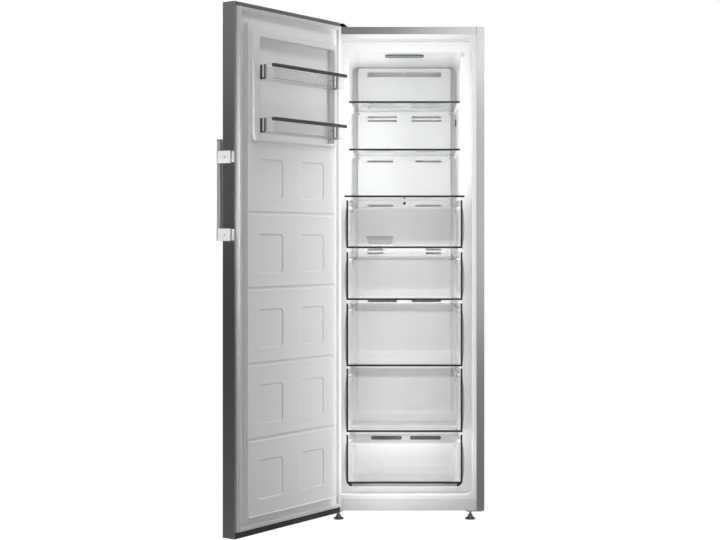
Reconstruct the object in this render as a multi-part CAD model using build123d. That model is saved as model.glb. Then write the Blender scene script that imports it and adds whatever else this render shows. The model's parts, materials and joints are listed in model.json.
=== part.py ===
from build123d import *
import os
from math import ceil

# Upright freezer with its door hung on the left, drawn in millimetres.
# +X is to the right, +Y goes into the cabinet and +Z is up. The origin lies on the floor, at mid-width,
# in the plane of the cabinet's front edge. The door and its racks are drawn closed, in the cabinet's
# frame, and are then turned about the hinge pins to the open angle they rest at.

# ---------------------------------------------------------------- cabinet
CABINET_WIDTH = 595.0
CABINET_DEPTH = 640.0
GROUND_GAP = 38.0  # floor to the underside of the body
SHEET = 1.0  # steel of the outer wrapper
SIDE_FLANGE = 29.0  # wrapper turned in round the front
TOP_FLANGE = 27.0
REAR_FLANGE = 15.0
SIDE_WALL = 85.5  # outside of the body to the inside of the cavity
CEILING_WALL = 86.0
BACK_WALL = 65.0
FLOOR_WALL = 73.0
FRONT_RAIL_HEIGHT = 40.0
FRONT_RAIL_DEPTH = 25.0
FRONT_RAIL_WALL = 2.0
PAN_SHEET = 1.2

# ---------------------------------------------------------------- liner
LINER = 2.0
LINER_TUCK = 14.0  # liner edge hidden behind the steel flange
POCKET_INSET = 46.0  # body side to the mouth that the door's inner panel enters
POCKET_TOP_INSET = 44.0
POCKET_BOTTOM_INSET = 58.0
POCKET_DEPTH = 78.0
POCKET_RADIUS = 12.0
CAVITY_RADIUS = 25.0
LEDGE_RADIUS = 6.0  # rounding from the ledge into the cavity
RAIL_REACH = 11.0  # how far a runner stands in from the cavity wall
RAIL_HEIGHT = 16.0
RAIL_NOSE = 7.0  # upright face of a runner, above its slanted underside
RAIL_START_GAP = 8.0

# ---------------------------------------------------------------- machine compartment
MACHINE_DEPTH = 195.0
MACHINE_HEIGHT = 212.0
MACHINE_WALL = 50.0  # insulation between it and the cavity
HUMP_CHAMFER = 40.0
RETURN_SLOT_LENGTH = 124.0
RETURN_SLOT_HEIGHT = 15.0
RETURN_SLOT_PITCH = 156.0
RETURN_SLOT_OFFSET = 6.0
RETURN_SLOT_Z = 255.0
COMPRESSOR_LENGTH = 200.0
COMPRESSOR_WIDTH = 140.0
COMPRESSOR_HEIGHT = 138.0
COMPRESSOR_X = -60.0
SEAM_OUT = 5.0
SEAM_HEIGHT = 4.0
PLATE_REACH = 15.0  # compressor's end to the end of its mounting plate
STUB_PITCH = 30.0
STUB_REACH = 35.0
GROMMET_RADIUS = 12.0
GROMMET_WAIST = 8.5
GROMMET_HEIGHT = 16.0
FOOT_PLATE_SHEET = 3.0
TRAY_WALL = 2.0
TRAY_HEIGHT = 34.0
TRAY_OUT = 20.0
BASE_SHEET = 2.0
BASE_UPTURN = 20.0
LOUVRE_PITCH = 26.0
LOUVRE_WIDTH = 8.0
LOUVRE_LENGTH = 116.0
LOUVRE_MARGIN = 60.0
LOUVRE_RAISED = 15.0
COVER_CLEARANCE = 4.0
GLAND_RADIUS = 9.0
GLAND_BORE = 4.0
GLAND_FLANGE = 3.0
GLAND_DEPTH = 7.0
GLAND_X = 200.0
GLAND_Z = 90.0

# ---------------------------------------------------------------- cold air parts
COVER_INSET = 22.0  # cavity side to the edge of the air cover
COVER_DEPTH = 30.0
COVER_WALL = 2.5
COVER_END_GAP = 2.0
VENT_HEIGHT = 8.0
VENT_MARGIN = 40.0
LONG_VENT_HEIGHT = 18.0
LONG_VENT_BELOW_TOP = 28.0
LONG_VENT_MULLION = 7.0
VENT_ROW_PITCH = 15.0
VENT_START_WIDE = 31.0  # mid-width to the inner ends of the longest slots
VENT_START_MEDIUM = 46.0
VENT_START_NARROW = 87.0
VENT_BELOW_SHELF = 25.0
VENT_BELOW_DRAWER = 25.0
BAY_INSET = 25.0
BAY_DEPTH = 25.0
BAY_HEIGHT = 640.0
BAY_ABOVE_HUMP = 60.0
EVAPORATOR_HEIGHT = 210.0
EVAPORATOR_SIDE_GAP = 32.0
FIN_COUNT = 14
FIN_SHEET = 1.0
COIL_RADIUS = 4.0
COIL_ROWS = 4
FAN_RADIUS = 50.0
FAN_HUB_RADIUS = 17.0
FAN_DEPTH = 16.0
FAN_BLADES = 6
FAN_SHAFT_RADIUS = 3.0
FAN_MOTOR_RADIUS = 24.0
FAN_MOTOR_DEPTH = 24.0
FAN_ARM_WIDTH = 10.0
FAN_ARM_SHEET = 4.0
FAN_GAP = 3.0  # rotor to motor
FAN_SHAFT_LENGTH = 20.0
BLADE_SHEET = 1.6
BLADE_ANGLE = 32.0
FAN_ABOVE_EVAPORATOR = 130.0
SENSOR_RADIUS = 6.0
SENSOR_HEIGHT = 3.0
SENSOR_BELOW_SHELF = 15.4
CONTROL_LENGTH = 148.0
CONTROL_WIDTH = 80.0
CONTROL_RADIUS = 25.0
CONTROL_THICKNESS = 4.0
CONTROL_SETBACK = 125.0
PLUG_RADIUS = 9.0
PLUG_HEIGHT = 2.5
PLUG_OUT = 6.0
PLUG_DOWN = 7.0

# ---------------------------------------------------------------- shelves
SHELF_PITCH = 181.3
TOP_SPACE = 177.9  # upper shelf to the ceiling
GLASS = 4.0
GLASS_SIDE_GAP = 3.0
SHELF_FRONT = 130.0
SHELF_BACK_GAP = 5.0
SHELF_TRIM_HEIGHT = 7.0
SHELF_TRIM_OVER = 0.8
SHELF_TRIM_DEPTH = 10.0
SHELF_TRIM_LIP = 3.0
SHELF_TRIM_GAP = 1.0
COVER_SHELF_FRONT = 35.0
COVER_SHELF_TRIM_DEPTH = 25.0
COVER_SHELF_INSET = 26.5
SEAT_GAP = 0.35  # between pieces that lie on each other and slide

# ---------------------------------------------------------------- drawers, from the bottom up
DRAWER_HEIGHTS = (191.0, 237.0, 235.0, 179.0, 180.0)
DRAWER_GAPS = (11.0, 9.0, 13.0, 15.0)  # between one front and the next
DRAWER_FLOOR_GAP = 13.0
COVER_SHELF_GAP = 17.4
DRAWER_FRONT = 30.0
DRAWER_SKIN = 3.0
DRAWER_TRIM_PROUD = 4.0
DRAWER_TRIM_DEPTH = 20.0
DRAWER_TRIM_SIDE = 7.0
DRAWER_TRIM_SEAT = 3.0
DRAWER_TRIM_BOTTOM = 7.0
DRAWER_TRIM_BULGE = 7.0
DRAWER_TRIM_SHOULDER = 26.0  # straight part of the frame's side above its bow
DRAWER_TRIM_TOE = 6.0
BOTTOM_TRIM_HEIGHT = 17.0
BOTTOM_TRIM_SLOT = 44.0
BOTTOM_TRIM_SLOT_HEIGHT = 6.0
BOTTOM_TRIM_SLOT_UP = 6.5
BOTTOM_TRIM_SLOT_SPREAD = 170.0
BOTTOM_TRIM_CHAMFER = 13.0
DRAWER_SIDE_GAP = 34.5  # pocket side to the end of a drawer front
GRIP_HEIGHT = 30.0
GRIP_DEPTH = 12.0
BIN_WALL = 2.2
BIN_SIDE_GAP = 16.0  # cavity side to the bin at its rim
BIN_DRAFT = 8.0
BIN_RADIUS = 14.0
BIN_FLOOR = 12.0
BIN_RIM_DOWN = 20.0
BIN_RIM = 12.0
BIN_RIM_SHEET = 2.5
BIN_BACK_GAP = 20.0
HUMP_GAP = 11.0  # bottom drawer to the hump
RIM_START_GAP = 2.0
TRAY_LENGTH = 215.0
TRAY_WIDTH = 107.0
ICE_TRAY_HEIGHT = 31.5
ICE_TRAY_DRAFT = 12.0
ICE_TRAY_RADIUS = 12.0
ICE_TRAY_FOOT_RADIUS = 8.0
ICE_TRAY_FRONT = 60.0
ICE_TRAY_SIDE = 42.0
ICE_CELLS_LONG = 6
ICE_CELLS_WIDE = 2
ICE_CELL_WALL = 5.0
ICE_CELL_DEPTH = 24.0
ICE_CELL_WEIR = 9.0  # how far the walls between cells stay below the rim

# ---------------------------------------------------------------- door
DOOR_SIDE_INSET = 3.5  # body side to the door's edge
DOOR_THICKNESS = 54.0
DOOR_BOTTOM = 41.0
DOOR_TOP_OVER = 7.0  # above the body's top
DOOR_GAP = 15.0
DOOR_OPEN_ANGLE = 124.3
DOOR_SHEET = 1.0
DOOR_RETURN = 14.0
TOP_CAP = 14.0
BOTTOM_CAP = 21.0
DOOR_LINER = 2.0
PIN_FROM_SIDE = 22.0  # body side to the hinge pin
PIN_FROM_FACE = 34.0  # door's inner face to the hinge pin
GASKET_OUT = 8.0  # door edge to the gasket at both sides
GASKET_WIDTH = 18.0
GASKET_HEIGHT = 14.2
GASKET_EDGE = 4.0
PANEL_SIDE_GAP = 3.0  # pocket side to the door's raised panel
PANEL_TOP_GAP = 4.0
PANEL_RISE = 28.0  # crest of the collar round the rack recess
PANEL_DRAFT = 8.0
PANEL_RADIUS = 18.0
FIELD_RISE = 14.0
RIM_RISE = 3.0  # rim round the sunk field
RIM_WIDTH = 9.0
COLLAR_FREE = 34.0  # recess edge to the foot of the collar
COLLAR_HINGE = 20.0
COLLAR_TOP = 23.0
COLLAR_BOTTOM = 14.0
COLLAR_DRAFT = 22.0
COLLAR_RADIUS = 22.0
FIELD_FROM_BOTTOM = 67.0  # door's lower edge to the sunk field
RECESS_HINGE_MARGIN = 72.0
RECESS_FREE_MARGIN = 98.0
RECESS_BELOW_TOP = 110.5  # door top to the top of the rack recess
RECESS_HEIGHT = 342.0
RECESS_FLOOR = 2.0
RECESS_RADIUS = 10.0
GROOVE_COUNT = 4
GROOVE_WIDTH = 6.0  # at its bottom
GROOVE_DEPTH = 4.0
SUNK_DRAFT = 45.0
PAD_SIZE = 128.0
PAD_MIDDLE = 5.0
PAD_SPREAD = 116.0
PAD_DEPTH = 3.0
PAD_RADIUS = 12.0
PAD_DOWN = 10.0

# ---------------------------------------------------------------- door racks
RACK_TOPS_BELOW_DOOR_TOP = (205.0, 386.5)
RACK_HEIGHT = 50.0
RACK_SIDE_GAP = 8.0
RACK_WALL = 2.2
RACK_BACK = 6.0
RACK_FRONT = 86.0
RACK_DRAFT = 7.0
RACK_CHEEK = 6.0  # how far the front part is wider at each end than the part in the recess
RACK_CHEEK_START = 49.0  # door's inner face to the wider part
RACK_CORNER = 10.0
RACK_RAIL = 4.0
RACK_RAIL_HEIGHT = 11.0
RACK_RAIL_OVER = 1.0
RACK_CLIP_START = 26.0
RACK_CLIP_END = 48.0
RACK_CLIP_SHEET = 4.0
RACK_CLIP_BAR = 6.0
RACK_RIB = 2.0
RACK_RIB_COUNT = 9
HOOK_REACH = 5.0
HOOK_HEIGHT = 4.0
HOOK_DOWN = 20.0
HOOK_WIDTH = 12.0
HOOK_BACK = 12.0
LUG_DEPTH = 25.0
LUG_HEIGHT = 22.0
LUG_REACH = 7.4

# ---------------------------------------------------------------- hinges
PIN_RADIUS = 5.0
PIN_CLEARANCE = 0.05
PIN_LENGTH = 14.0
BUSH_RADIUS = 9.0
BUSH_FLANGE_RADIUS = 12.0
BUSH_LENGTH = 13.0
BOTTOM_PLATE = 4.0
TOP_PLATE = 2.5
TOP_ARM_GAP = 1.4
ARM_RADIUS = 13.0
BRACKET_WIDTH = 62.0
BRACKET_DEPTH = 66.0
BRACKET_SIDE = 6.0
SCREW_RADIUS = 3.0
SCREW_HEAD_RADIUS = 5.5
SCREW_HEAD = 3.5
SCREW_PITCH_X = 36.0
SCREW_PITCH_Y = 34.0
HINGE_COVER_HEIGHT = 12.6
HINGE_COVER_WALL = 1.5
HINGE_COVER_SLANT = 15.0
HINGE_COVER_GAP = 8.0
CAP_RADIUS = 7.0
CAP_HEIGHT = 1.6

# ---------------------------------------------------------------- feet and rollers
FOOT_FROM_MIDDLE_OF_SIDE = 50.5  # body side to the foot
FOOT_SETBACK = 35.0
FOOT_RADIUS = 20.0
FOOT_RIM = 5.0
FOOT_NECK_RADIUS = 8.0
FOOT_NECK_Z = 15.0
FOOT_NECK_HEIGHT = 4.0
STUD_RADIUS = 4.0
STUD_CLEARANCE = 0.06
ROLLER_RADIUS = 18.0
ROLLER_WIDTH = 14.0
ROLLER_BORE_CLEARANCE = 0.06
ROLLER_FROM_SIDE = 35.5
ROLLER_FROM_BACK = 40.0
AXLE_RADIUS = 4.0
EAR_SHEET = 2.0
EAR_GAP = 0.5
EAR_WIDTH = 30.0

# ---------------------------------------------------------------- handle
HANDLE_BOTTOM = 1040.6
HANDLE_LENGTH = 345.4
HANDLE_WIDTH = 30.0
HANDLE_DEPTH = 15.0
HANDLE_STANDOFF = 30.0
HANDLE_INSET = 20.0
HANDLE_RADIUS = 3.0
BRACKET_HEIGHT = 42.0
UPPER_BRACKET_DOWN = 42.0
PLATE_THICKNESS = 4.0
PLATE_FORWARD = 19.5
PLATE_BACK = 38.0
CLIP_START = 43.0
CLIP_END = 53.0
CLIP_SHORTER = 2.5
SET_SCREW_RADIUS = 2.5

# ---------------------------------------------------------------- worked out from the above
HALF = CABINET_WIDTH / 2
BASE_Z = GROUND_GAP
FLOOR_Z = BASE_Z + FLOOR_WALL
DRAWER_BOTTOMS = [FLOOR_Z + DRAWER_FLOOR_GAP]
for drawer_height, drawer_gap in zip(DRAWER_HEIGHTS, DRAWER_GAPS):
    DRAWER_BOTTOMS.append(DRAWER_BOTTOMS[-1] + drawer_height + drawer_gap)
COVER_SHELF_Z = DRAWER_BOTTOMS[-1] + DRAWER_HEIGHTS[-1] + COVER_SHELF_GAP
SHELF_TOPS = (COVER_SHELF_Z, COVER_SHELF_Z + SHELF_PITCH, COVER_SHELF_Z + 2 * SHELF_PITCH)
CEILING_Z = SHELF_TOPS[-1] + TOP_SPACE
TOP_Z = CEILING_Z + CEILING_WALL
POCKET_HALF = HALF - POCKET_INSET
POCKET_TOP = TOP_Z - POCKET_TOP_INSET
POCKET_BOTTOM = BASE_Z + POCKET_BOTTOM_INSET
CAVITY_HALF = HALF - SIDE_WALL
BACK_Y = CABINET_DEPTH - BACK_WALL
COVER_HALF = CAVITY_HALF - COVER_INSET
COVER_Y = BACK_Y - COVER_DEPTH
MACHINE_Y = CABINET_DEPTH - MACHINE_DEPTH
MACHINE_TOP = BASE_Z + MACHINE_HEIGHT
HUMP_Y = MACHINE_Y - MACHINE_WALL
HUMP_TOP = MACHINE_TOP + MACHINE_WALL
BAY_HALF = COVER_HALF - BAY_INSET
BAY_BOTTOM = HUMP_TOP + BAY_ABOVE_HUMP
BAY_TOP = BAY_BOTTOM + BAY_HEIGHT
EVAPORATOR_Z = BAY_BOTTOM + EVAPORATOR_SIDE_GAP
FAN_Z = EVAPORATOR_Z + EVAPORATOR_HEIGHT + FAN_ABOVE_EVAPORATOR
SHELF_BACK = COVER_Y - SHELF_BACK_GAP
FRONT_HALF = POCKET_HALF - DRAWER_SIDE_GAP
BIN_HALF = CAVITY_HALF - BIN_SIDE_GAP
DOOR_TOP = TOP_Z + DOOR_TOP_OVER
DOOR_FACE_Y = -DOOR_GAP
DOOR_OUTER_Y = DOOR_FACE_Y - DOOR_THICKNESS
DOOR_HALF = HALF - DOOR_SIDE_INSET
PIN_X = -HALF + PIN_FROM_SIDE
PIN_Y = DOOR_FACE_Y - PIN_FROM_FACE
PANEL_HALF = POCKET_HALF - PANEL_SIDE_GAP
PANEL_TOP = POCKET_TOP - PANEL_TOP_GAP
PANEL_BOTTOM = POCKET_BOTTOM + PANEL_TOP_GAP
FIELD_BOTTOM = DOOR_BOTTOM + FIELD_FROM_BOTTOM
FIELD_HALF = PANEL_HALF - RIM_WIDTH
GASKET_HALF = DOOR_HALF - GASKET_OUT
GASKET_BOTTOM = DOOR_BOTTOM + BOTTOM_CAP
GASKET_TOP = DOOR_TOP - TOP_CAP
RECESS_TOP = DOOR_TOP - RECESS_BELOW_TOP
RECESS_BOTTOM = RECESS_TOP - RECESS_HEIGHT
RECESS_X = (-DOOR_HALF + RECESS_HINGE_MARGIN, DOOR_HALF - RECESS_FREE_MARGIN)
RACK_X = (RECESS_X[0] + RACK_SIDE_GAP, RECESS_X[1] - RACK_SIDE_GAP)
BRACKET_X = (-HALF + BRACKET_SIDE, -HALF + BRACKET_SIDE + BRACKET_WIDTH)
FOOT_X = HALF - FOOT_FROM_MIDDLE_OF_SIDE
TOP_ARM_Z = DOOR_TOP + TOP_ARM_GAP
ROLLER_X = HALF - ROLLER_FROM_SIDE
ROLLER_Y = CABINET_DEPTH - ROLLER_FROM_BACK
BEYOND = 5.0  # how far a cutting shape passes the face it opens


# ---------------------------------------------------------------- drawing helpers
def area(left, right, low, high, radius=0.0):
    """A rectangle between four edges, with round corners if a radius is given."""
    width, height = right - left, high - low
    plain = RectangleRounded(width, height, radius) if radius else Rectangle(width, height)
    return Pos((left + right) / 2, (low + high) / 2) * plain


def outline(*points):
    """A flat polygon through the points."""
    return make_face(Polyline(*points, close=True).edges())


def inward(flat, y_start, y_end):
    """A front-view (X, Z) shape pushed along +Y."""
    plane = Plane((0, y_start, 0), x_dir=(1, 0, 0), z_dir=(0, -1, 0))
    return extrude(plane * flat, amount=y_start - y_end)


def tapered(flat, y_start, y_end, taper):
    """A front-view shape pushed along +Y with its sides drawn in, or spread if the taper is negative."""
    plane = Plane((0, y_start, 0), x_dir=(-1, 0, 0), z_dir=(0, 1, 0))
    return extrude(plane * mirror(flat, about=Plane.YZ), amount=y_end - y_start, taper=taper)


def upward(flat, z_start, z_end, taper=0.0):
    """A plan-view (X, Y) shape pushed along +Z."""
    return extrude(Plane.XY.offset(z_start) * flat, amount=z_end - z_start, taper=taper)


def sideways(flat, x_start, x_end):
    """A side-view (Y, Z) shape pushed along +X."""
    plane = Plane((x_start, 0, 0), x_dir=(0, 1, 0), z_dir=(1, 0, 0))
    return extrude(plane * flat, amount=x_end - x_start)


def block(x0, x1, y0, y1, z0, z1):
    return upward(area(x0, x1, y0, y1), z0, z1)


def post(x, y, z0, z1, radius):
    return upward(Pos(x, y) * Circle(radius), z0, z1)


def rod_x(x0, x1, y, z, radius):
    return sideways(Pos(y, z) * Circle(radius), x0, x1)


def rod_y(x, z, y0, y1, radius):
    return inward(Pos(x, z) * Circle(radius), y0, y1)


def span(side, near, far):
    """Two X places given as distances from the middle, in rising order on that side."""
    return (near, far) if side > 0 else (-far, -near)


def at_rest(shape):
    """Turns a piece drawn on the closed door to the open angle that it rests at."""
    return shape.rotate(Axis((PIN_X, PIN_Y, 0), (0, 0, 1)), -DOOR_OPEN_ANGLE)


def save(name, *pieces):
    """Writes one sub-part, which may be several alike solids."""
    solids = [solid for piece in pieces for solid in piece.solids()]
    export_step(solids[0] if len(solids) == 1 else Compound(solids), f"parts/{name}.step")


# ---------------------------------------------------------------- cabinet shell and insulation
def outer_wrapper():
    """Steel sheet bent over the top and both sides, with edges turned in at the front and the back."""
    body = area(-HALF, HALF, BASE_Z, TOP_Z)
    hollow = area(-HALF + SHEET, HALF - SHEET, BASE_Z - BEYOND, TOP_Z - SHEET)
    mouth = area(-HALF + SIDE_FLANGE, HALF - SIDE_FLANGE, BASE_Z - BEYOND, TOP_Z - TOP_FLANGE)
    back = area(-HALF + REAR_FLANGE, HALF - REAR_FLANGE, BASE_Z - BEYOND, TOP_Z - REAR_FLANGE)
    walls = inward(body - hollow, 0, CABINET_DEPTH)
    front = inward(body - mouth, 0, SHEET)
    rear = inward(body - back, CABINET_DEPTH - SHEET, CABINET_DEPTH)
    return walls + front + rear


def runner(side, top, y_start, y_end, inset):
    """A runner moulded into the cavity's side wall; inset draws it as seen from behind the liner."""
    face = side * (CAVITY_HALF - RAIL_REACH + inset)
    wall = side * (CAVITY_HALF + BEYOND)
    high, slope = top - inset, RAIL_HEIGHT - RAIL_NOSE
    drop = slope * (BEYOND + RAIL_REACH - inset) / RAIL_REACH
    nose = top - RAIL_NOSE + inset
    section = outline((wall, high), (face, high), (face, nose), (wall, nose - drop))
    return inward(section, y_start + inset, y_end - inset)


def runner_levels():
    """Each runner's upper face with the depth it reaches from and to."""
    back = COVER_Y - RAIL_START_GAP
    first = POCKET_DEPTH + RAIL_START_GAP
    levels = [(SHELF_TOPS[0] - GLASS - SEAT_GAP, first, back)]
    for top in SHELF_TOPS[1:]:
        levels.append((top - GLASS - SEAT_GAP, SHELF_FRONT + SHELF_TRIM_DEPTH + RAIL_START_GAP, back))
    for number, bottom in enumerate(DRAWER_BOTTOMS):
        rim = bottom + DRAWER_HEIGHTS[number] - BIN_RIM_DOWN - BIN_RIM_SHEET
        end = HUMP_Y - RAIL_START_GAP if number == 0 else back
        levels.append((rim - SEAT_GAP, first, end))
    return levels


def hump(inset):
    """The step in the cavity's floor that the machine compartment makes."""
    y, z = HUMP_Y + inset, HUMP_TOP - inset
    section = outline(
        (y, FLOOR_Z - SIDE_WALL),
        (y, z - HUMP_CHAMFER),
        (y + HUMP_CHAMFER, z),
        (CABINET_DEPTH, z),
        (CABINET_DEPTH, FLOOR_Z - SIDE_WALL),
    )
    return sideways(section, -HALF, HALF)


def cold_space(grow, start):
    """The hollow of the liner, or with grow its outside: mouth, cavity and the evaporator's bay."""
    mouth = inward(
        area(-POCKET_HALF - grow, POCKET_HALF + grow, POCKET_BOTTOM - grow, POCKET_TOP + grow, POCKET_RADIUS),
        start,
        POCKET_DEPTH + grow,
    )
    cavity = inward(
        area(-CAVITY_HALF - grow, CAVITY_HALF + grow, FLOOR_Z - grow, CEILING_Z + grow, CAVITY_RADIUS),
        POCKET_DEPTH,
        BACK_Y + grow,
    )
    bay = inward(
        area(-BAY_HALF - grow, BAY_HALF + grow, BAY_BOTTOM - grow, BAY_TOP + grow),
        COVER_Y,
        BACK_Y + BAY_DEPTH + grow,
    )
    ledge = (mouth + cavity).faces().filter_by(Axis.Y).sort_by(Axis.Y)[1]
    space = fillet(ledge.inner_wires()[0].edges(), LEDGE_RADIUS - grow) + bay - hump(grow)
    for side in (1, -1):
        for top, y_start, y_end in runner_levels():
            space -= runner(side, top, y_start, y_end, grow)
    return space


def return_slots(y_start, y_end, margin=0.0):
    """The two long slots that take air back through the face of the hump."""
    slots = []
    for side in (1, -1):
        middle = RETURN_SLOT_OFFSET + side * RETURN_SLOT_PITCH / 2
        flat = SlotOverall(RETURN_SLOT_LENGTH + 2 * margin, RETURN_SLOT_HEIGHT + 2 * margin)
        slots.append(inward(Pos(middle, RETURN_SLOT_Z) * flat, y_start, y_end))
    return slots


def inner_liner(cold_outside):
    """White thermoformed liner: front lip, mouth, ledge, cavity, runners, hump and rear bay."""
    lip_half, lip_top = HALF - SIDE_FLANGE, TOP_Z - TOP_FLANGE
    lip_bottom = BASE_Z + FRONT_RAIL_HEIGHT
    lip = inward(area(-lip_half, lip_half, lip_bottom, lip_top), 0, LINER)
    tuck = area(-lip_half - LINER_TUCK, lip_half + LINER_TUCK, lip_bottom, lip_top + LINER_TUCK)
    liner = lip + inward(tuck, SHEET, SHEET + LINER) + cold_outside - cold_space(0, -BEYOND)
    for slot in return_slots(HUMP_Y - BEYOND, HUMP_Y + LINER):
        liner -= slot
    return liner


def insulation(cold_outside):
    """Foam that fills everything between the liner, the wrapper, the base pan and the back."""
    side, top = HALF - SHEET, TOP_Z - SHEET
    front, back = SHEET + LINER, CABINET_DEPTH - 2 * SHEET
    foam = block(-side, side, front, back, BASE_Z + PAN_SHEET, top)
    foam -= block(-side, side, MACHINE_Y - PAN_SHEET, back, BASE_Z, MACHINE_TOP + PAN_SHEET)
    rail_half, rail_top = HALF - SIDE_FLANGE, BASE_Z + FRONT_RAIL_HEIGHT
    foam -= block(-rail_half, rail_half, 0, FRONT_RAIL_DEPTH, BASE_Z, rail_top)
    return foam - cold_outside


def front_rail():
    """Channel below the cavity, open to the back."""
    top = BASE_Z + FRONT_RAIL_HEIGHT
    channel = area(0, FRONT_RAIL_DEPTH, BASE_Z, top)
    channel -= area(FRONT_RAIL_WALL, FRONT_RAIL_DEPTH, BASE_Z + FRONT_RAIL_WALL, top - FRONT_RAIL_WALL)
    half = HALF - SIDE_FLANGE
    return sideways(channel, -half, half)


def base_pan():
    """Folded sheet under the foam, stepped up and back over the machine compartment."""
    low, front, back = BASE_Z, FRONT_RAIL_DEPTH, CABINET_DEPTH - 2 * SHEET
    wall, roof = MACHINE_Y - PAN_SHEET, MACHINE_TOP
    section = outline(
        (front, low),
        (MACHINE_Y, low),
        (MACHINE_Y, roof),
        (back, roof),
        (back, roof + PAN_SHEET),
        (wall, roof + PAN_SHEET),
        (wall, low + PAN_SHEET),
        (front, low + PAN_SHEET),
    )
    return sideways(section, -HALF + SHEET, HALF - SHEET)


def rear_panel():
    """Back sheet with two shallow stiffening ribs pressed outwards."""
    half, back = HALF - SHEET, CABINET_DEPTH - SHEET
    panel = inward(area(-half, half, MACHINE_TOP, TOP_Z - SHEET), back - SHEET, back)
    rib_length = TOP_Z - MACHINE_TOP - 2 * BACK_WALL
    for side in (1, -1):
        rib = Pos(side * HALF / 2, (TOP_Z + MACHINE_TOP) / 2) * SlotOverall(rib_length, BACK_WALL / 2, 90)
        panel += inward(rib, back, back + SHEET)
    return panel


# ---------------------------------------------------------------- machine compartment
def compartment_middle():
    return (MACHINE_Y + CABINET_DEPTH) / 2


def compressor_base():
    """Rail across the back that carries the compressor and, on folded ears, the two rollers."""
    half = HALF - SHEET
    front, back = MACHINE_Y + BASE_UPTURN / 2, CABINET_DEPTH - BASE_UPTURN / 2
    base = block(-half, half, front, back, BASE_Z, BASE_Z + BASE_SHEET)
    for side in (1, -1):
        x0, x1 = span(side, half - BASE_SHEET, half)
        base += block(x0, x1, front, back, BASE_Z, BASE_Z + BASE_UPTURN)
        for near in (-ROLLER_WIDTH / 2 - EAR_GAP - EAR_SHEET, ROLLER_WIDTH / 2 + EAR_GAP):
            x0, x1 = span(side, ROLLER_X + near, ROLLER_X + near + EAR_SHEET)
            ear = area(ROLLER_Y - EAR_WIDTH / 2, ROLLER_Y + EAR_WIDTH / 2, ROLLER_RADIUS, BASE_Z)
            ear += Pos(ROLLER_Y, ROLLER_RADIUS) * Circle(EAR_WIDTH / 2 - EAR_SHEET)
            base += sideways(ear, x0, x1)
        base += roller_axle(side)
    return base


def roller_axle(side):
    """Headed axle riveted into both ears."""
    reach = ROLLER_WIDTH / 2 + EAR_GAP + EAR_SHEET
    x0, x1 = span(side, ROLLER_X - reach, ROLLER_X + reach)
    h0, h1 = span(side, ROLLER_X + reach, ROLLER_X + reach + EAR_SHEET)
    shaft = rod_x(x0, x1, ROLLER_Y, ROLLER_RADIUS, AXLE_RADIUS)
    return shaft + rod_x(h0, h1, ROLLER_Y, ROLLER_RADIUS, AXLE_RADIUS * 1.6)


def compressor():
    """Hermetic pot of two deep-drawn halves with a seam, three stub pipes and a mounting plate."""
    middle = Pos(COMPRESSOR_X, compartment_middle())
    low = BASE_Z + BASE_SHEET + GROMMET_HEIGHT + FOOT_PLATE_SHEET
    top = low + COMPRESSOR_HEIGHT
    plan = RectangleRounded(COMPRESSOR_LENGTH, COMPRESSOR_WIDTH, COMPRESSOR_WIDTH / 2 - 1)
    pot = upward(middle * plan, low, top)
    pot = fillet(pot.faces().sort_by(Axis.Z)[-1].edges(), COMPRESSOR_HEIGHT / 4)
    length, width = COMPRESSOR_LENGTH + 2 * SEAM_OUT, COMPRESSOR_WIDTH + 2 * SEAM_OUT
    seam = RectangleRounded(length, width, COMPRESSOR_WIDTH / 2)
    pot += upward(middle * seam, low + COMPRESSOR_HEIGHT / 2, low + COMPRESSOR_HEIGHT / 2 + SEAM_HEIGHT)
    plate = RectangleRounded(COMPRESSOR_LENGTH + 2 * PLATE_REACH, COMPRESSOR_WIDTH, GROMMET_RADIUS)
    pot += upward(middle * plate, low - FOOT_PLATE_SHEET, low)
    end = COMPRESSOR_X + COMPRESSOR_LENGTH / 2
    for number in (-1, 0, 1):
        y = compartment_middle() + number * STUB_PITCH
        pot += rod_x(end - STUB_REACH, end + STUB_REACH, y, low + COMPRESSOR_HEIGHT / 3, COIL_RADIUS)
    return pot


def compressor_mounts():
    """Four waisted rubber grommets between the mounting plate and the rail."""
    low = BASE_Z + BASE_SHEET
    profile = outline(
        (0, 0),
        (GROMMET_RADIUS, 0),
        (GROMMET_WAIST, GROMMET_HEIGHT / 2),
        (GROMMET_RADIUS, GROMMET_HEIGHT),
        (0, GROMMET_HEIGHT),
    )
    mount = revolve(Plane.XZ * profile, Axis.Z)
    across = COMPRESSOR_LENGTH / 2
    along = COMPRESSOR_WIDTH / 2 - GROMMET_RADIUS
    places = GridLocations(2 * across, 2 * along, 2, 2)
    return [Pos(COMPRESSOR_X, compartment_middle(), low) * place * mount for place in places]


def drip_tray():
    """Shallow dish on top of the compressor that catches and evaporates the defrost water."""
    low = BASE_Z + BASE_SHEET + GROMMET_HEIGHT + FOOT_PLATE_SHEET + COMPRESSOR_HEIGHT
    middle = Pos(COMPRESSOR_X, compartment_middle())
    length, width = COMPRESSOR_LENGTH + 2 * TRAY_OUT, COMPRESSOR_WIDTH + TRAY_OUT
    dish = upward(middle * RectangleRounded(length, width, TRAY_OUT), low, low + TRAY_HEIGHT, -BIN_DRAFT)
    inside = RectangleRounded(length - 2 * TRAY_WALL, width - 2 * TRAY_WALL, TRAY_OUT - TRAY_WALL)
    return dish - upward(middle * inside, low + TRAY_WALL, low + TRAY_HEIGHT + BEYOND, -BIN_DRAFT)


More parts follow.
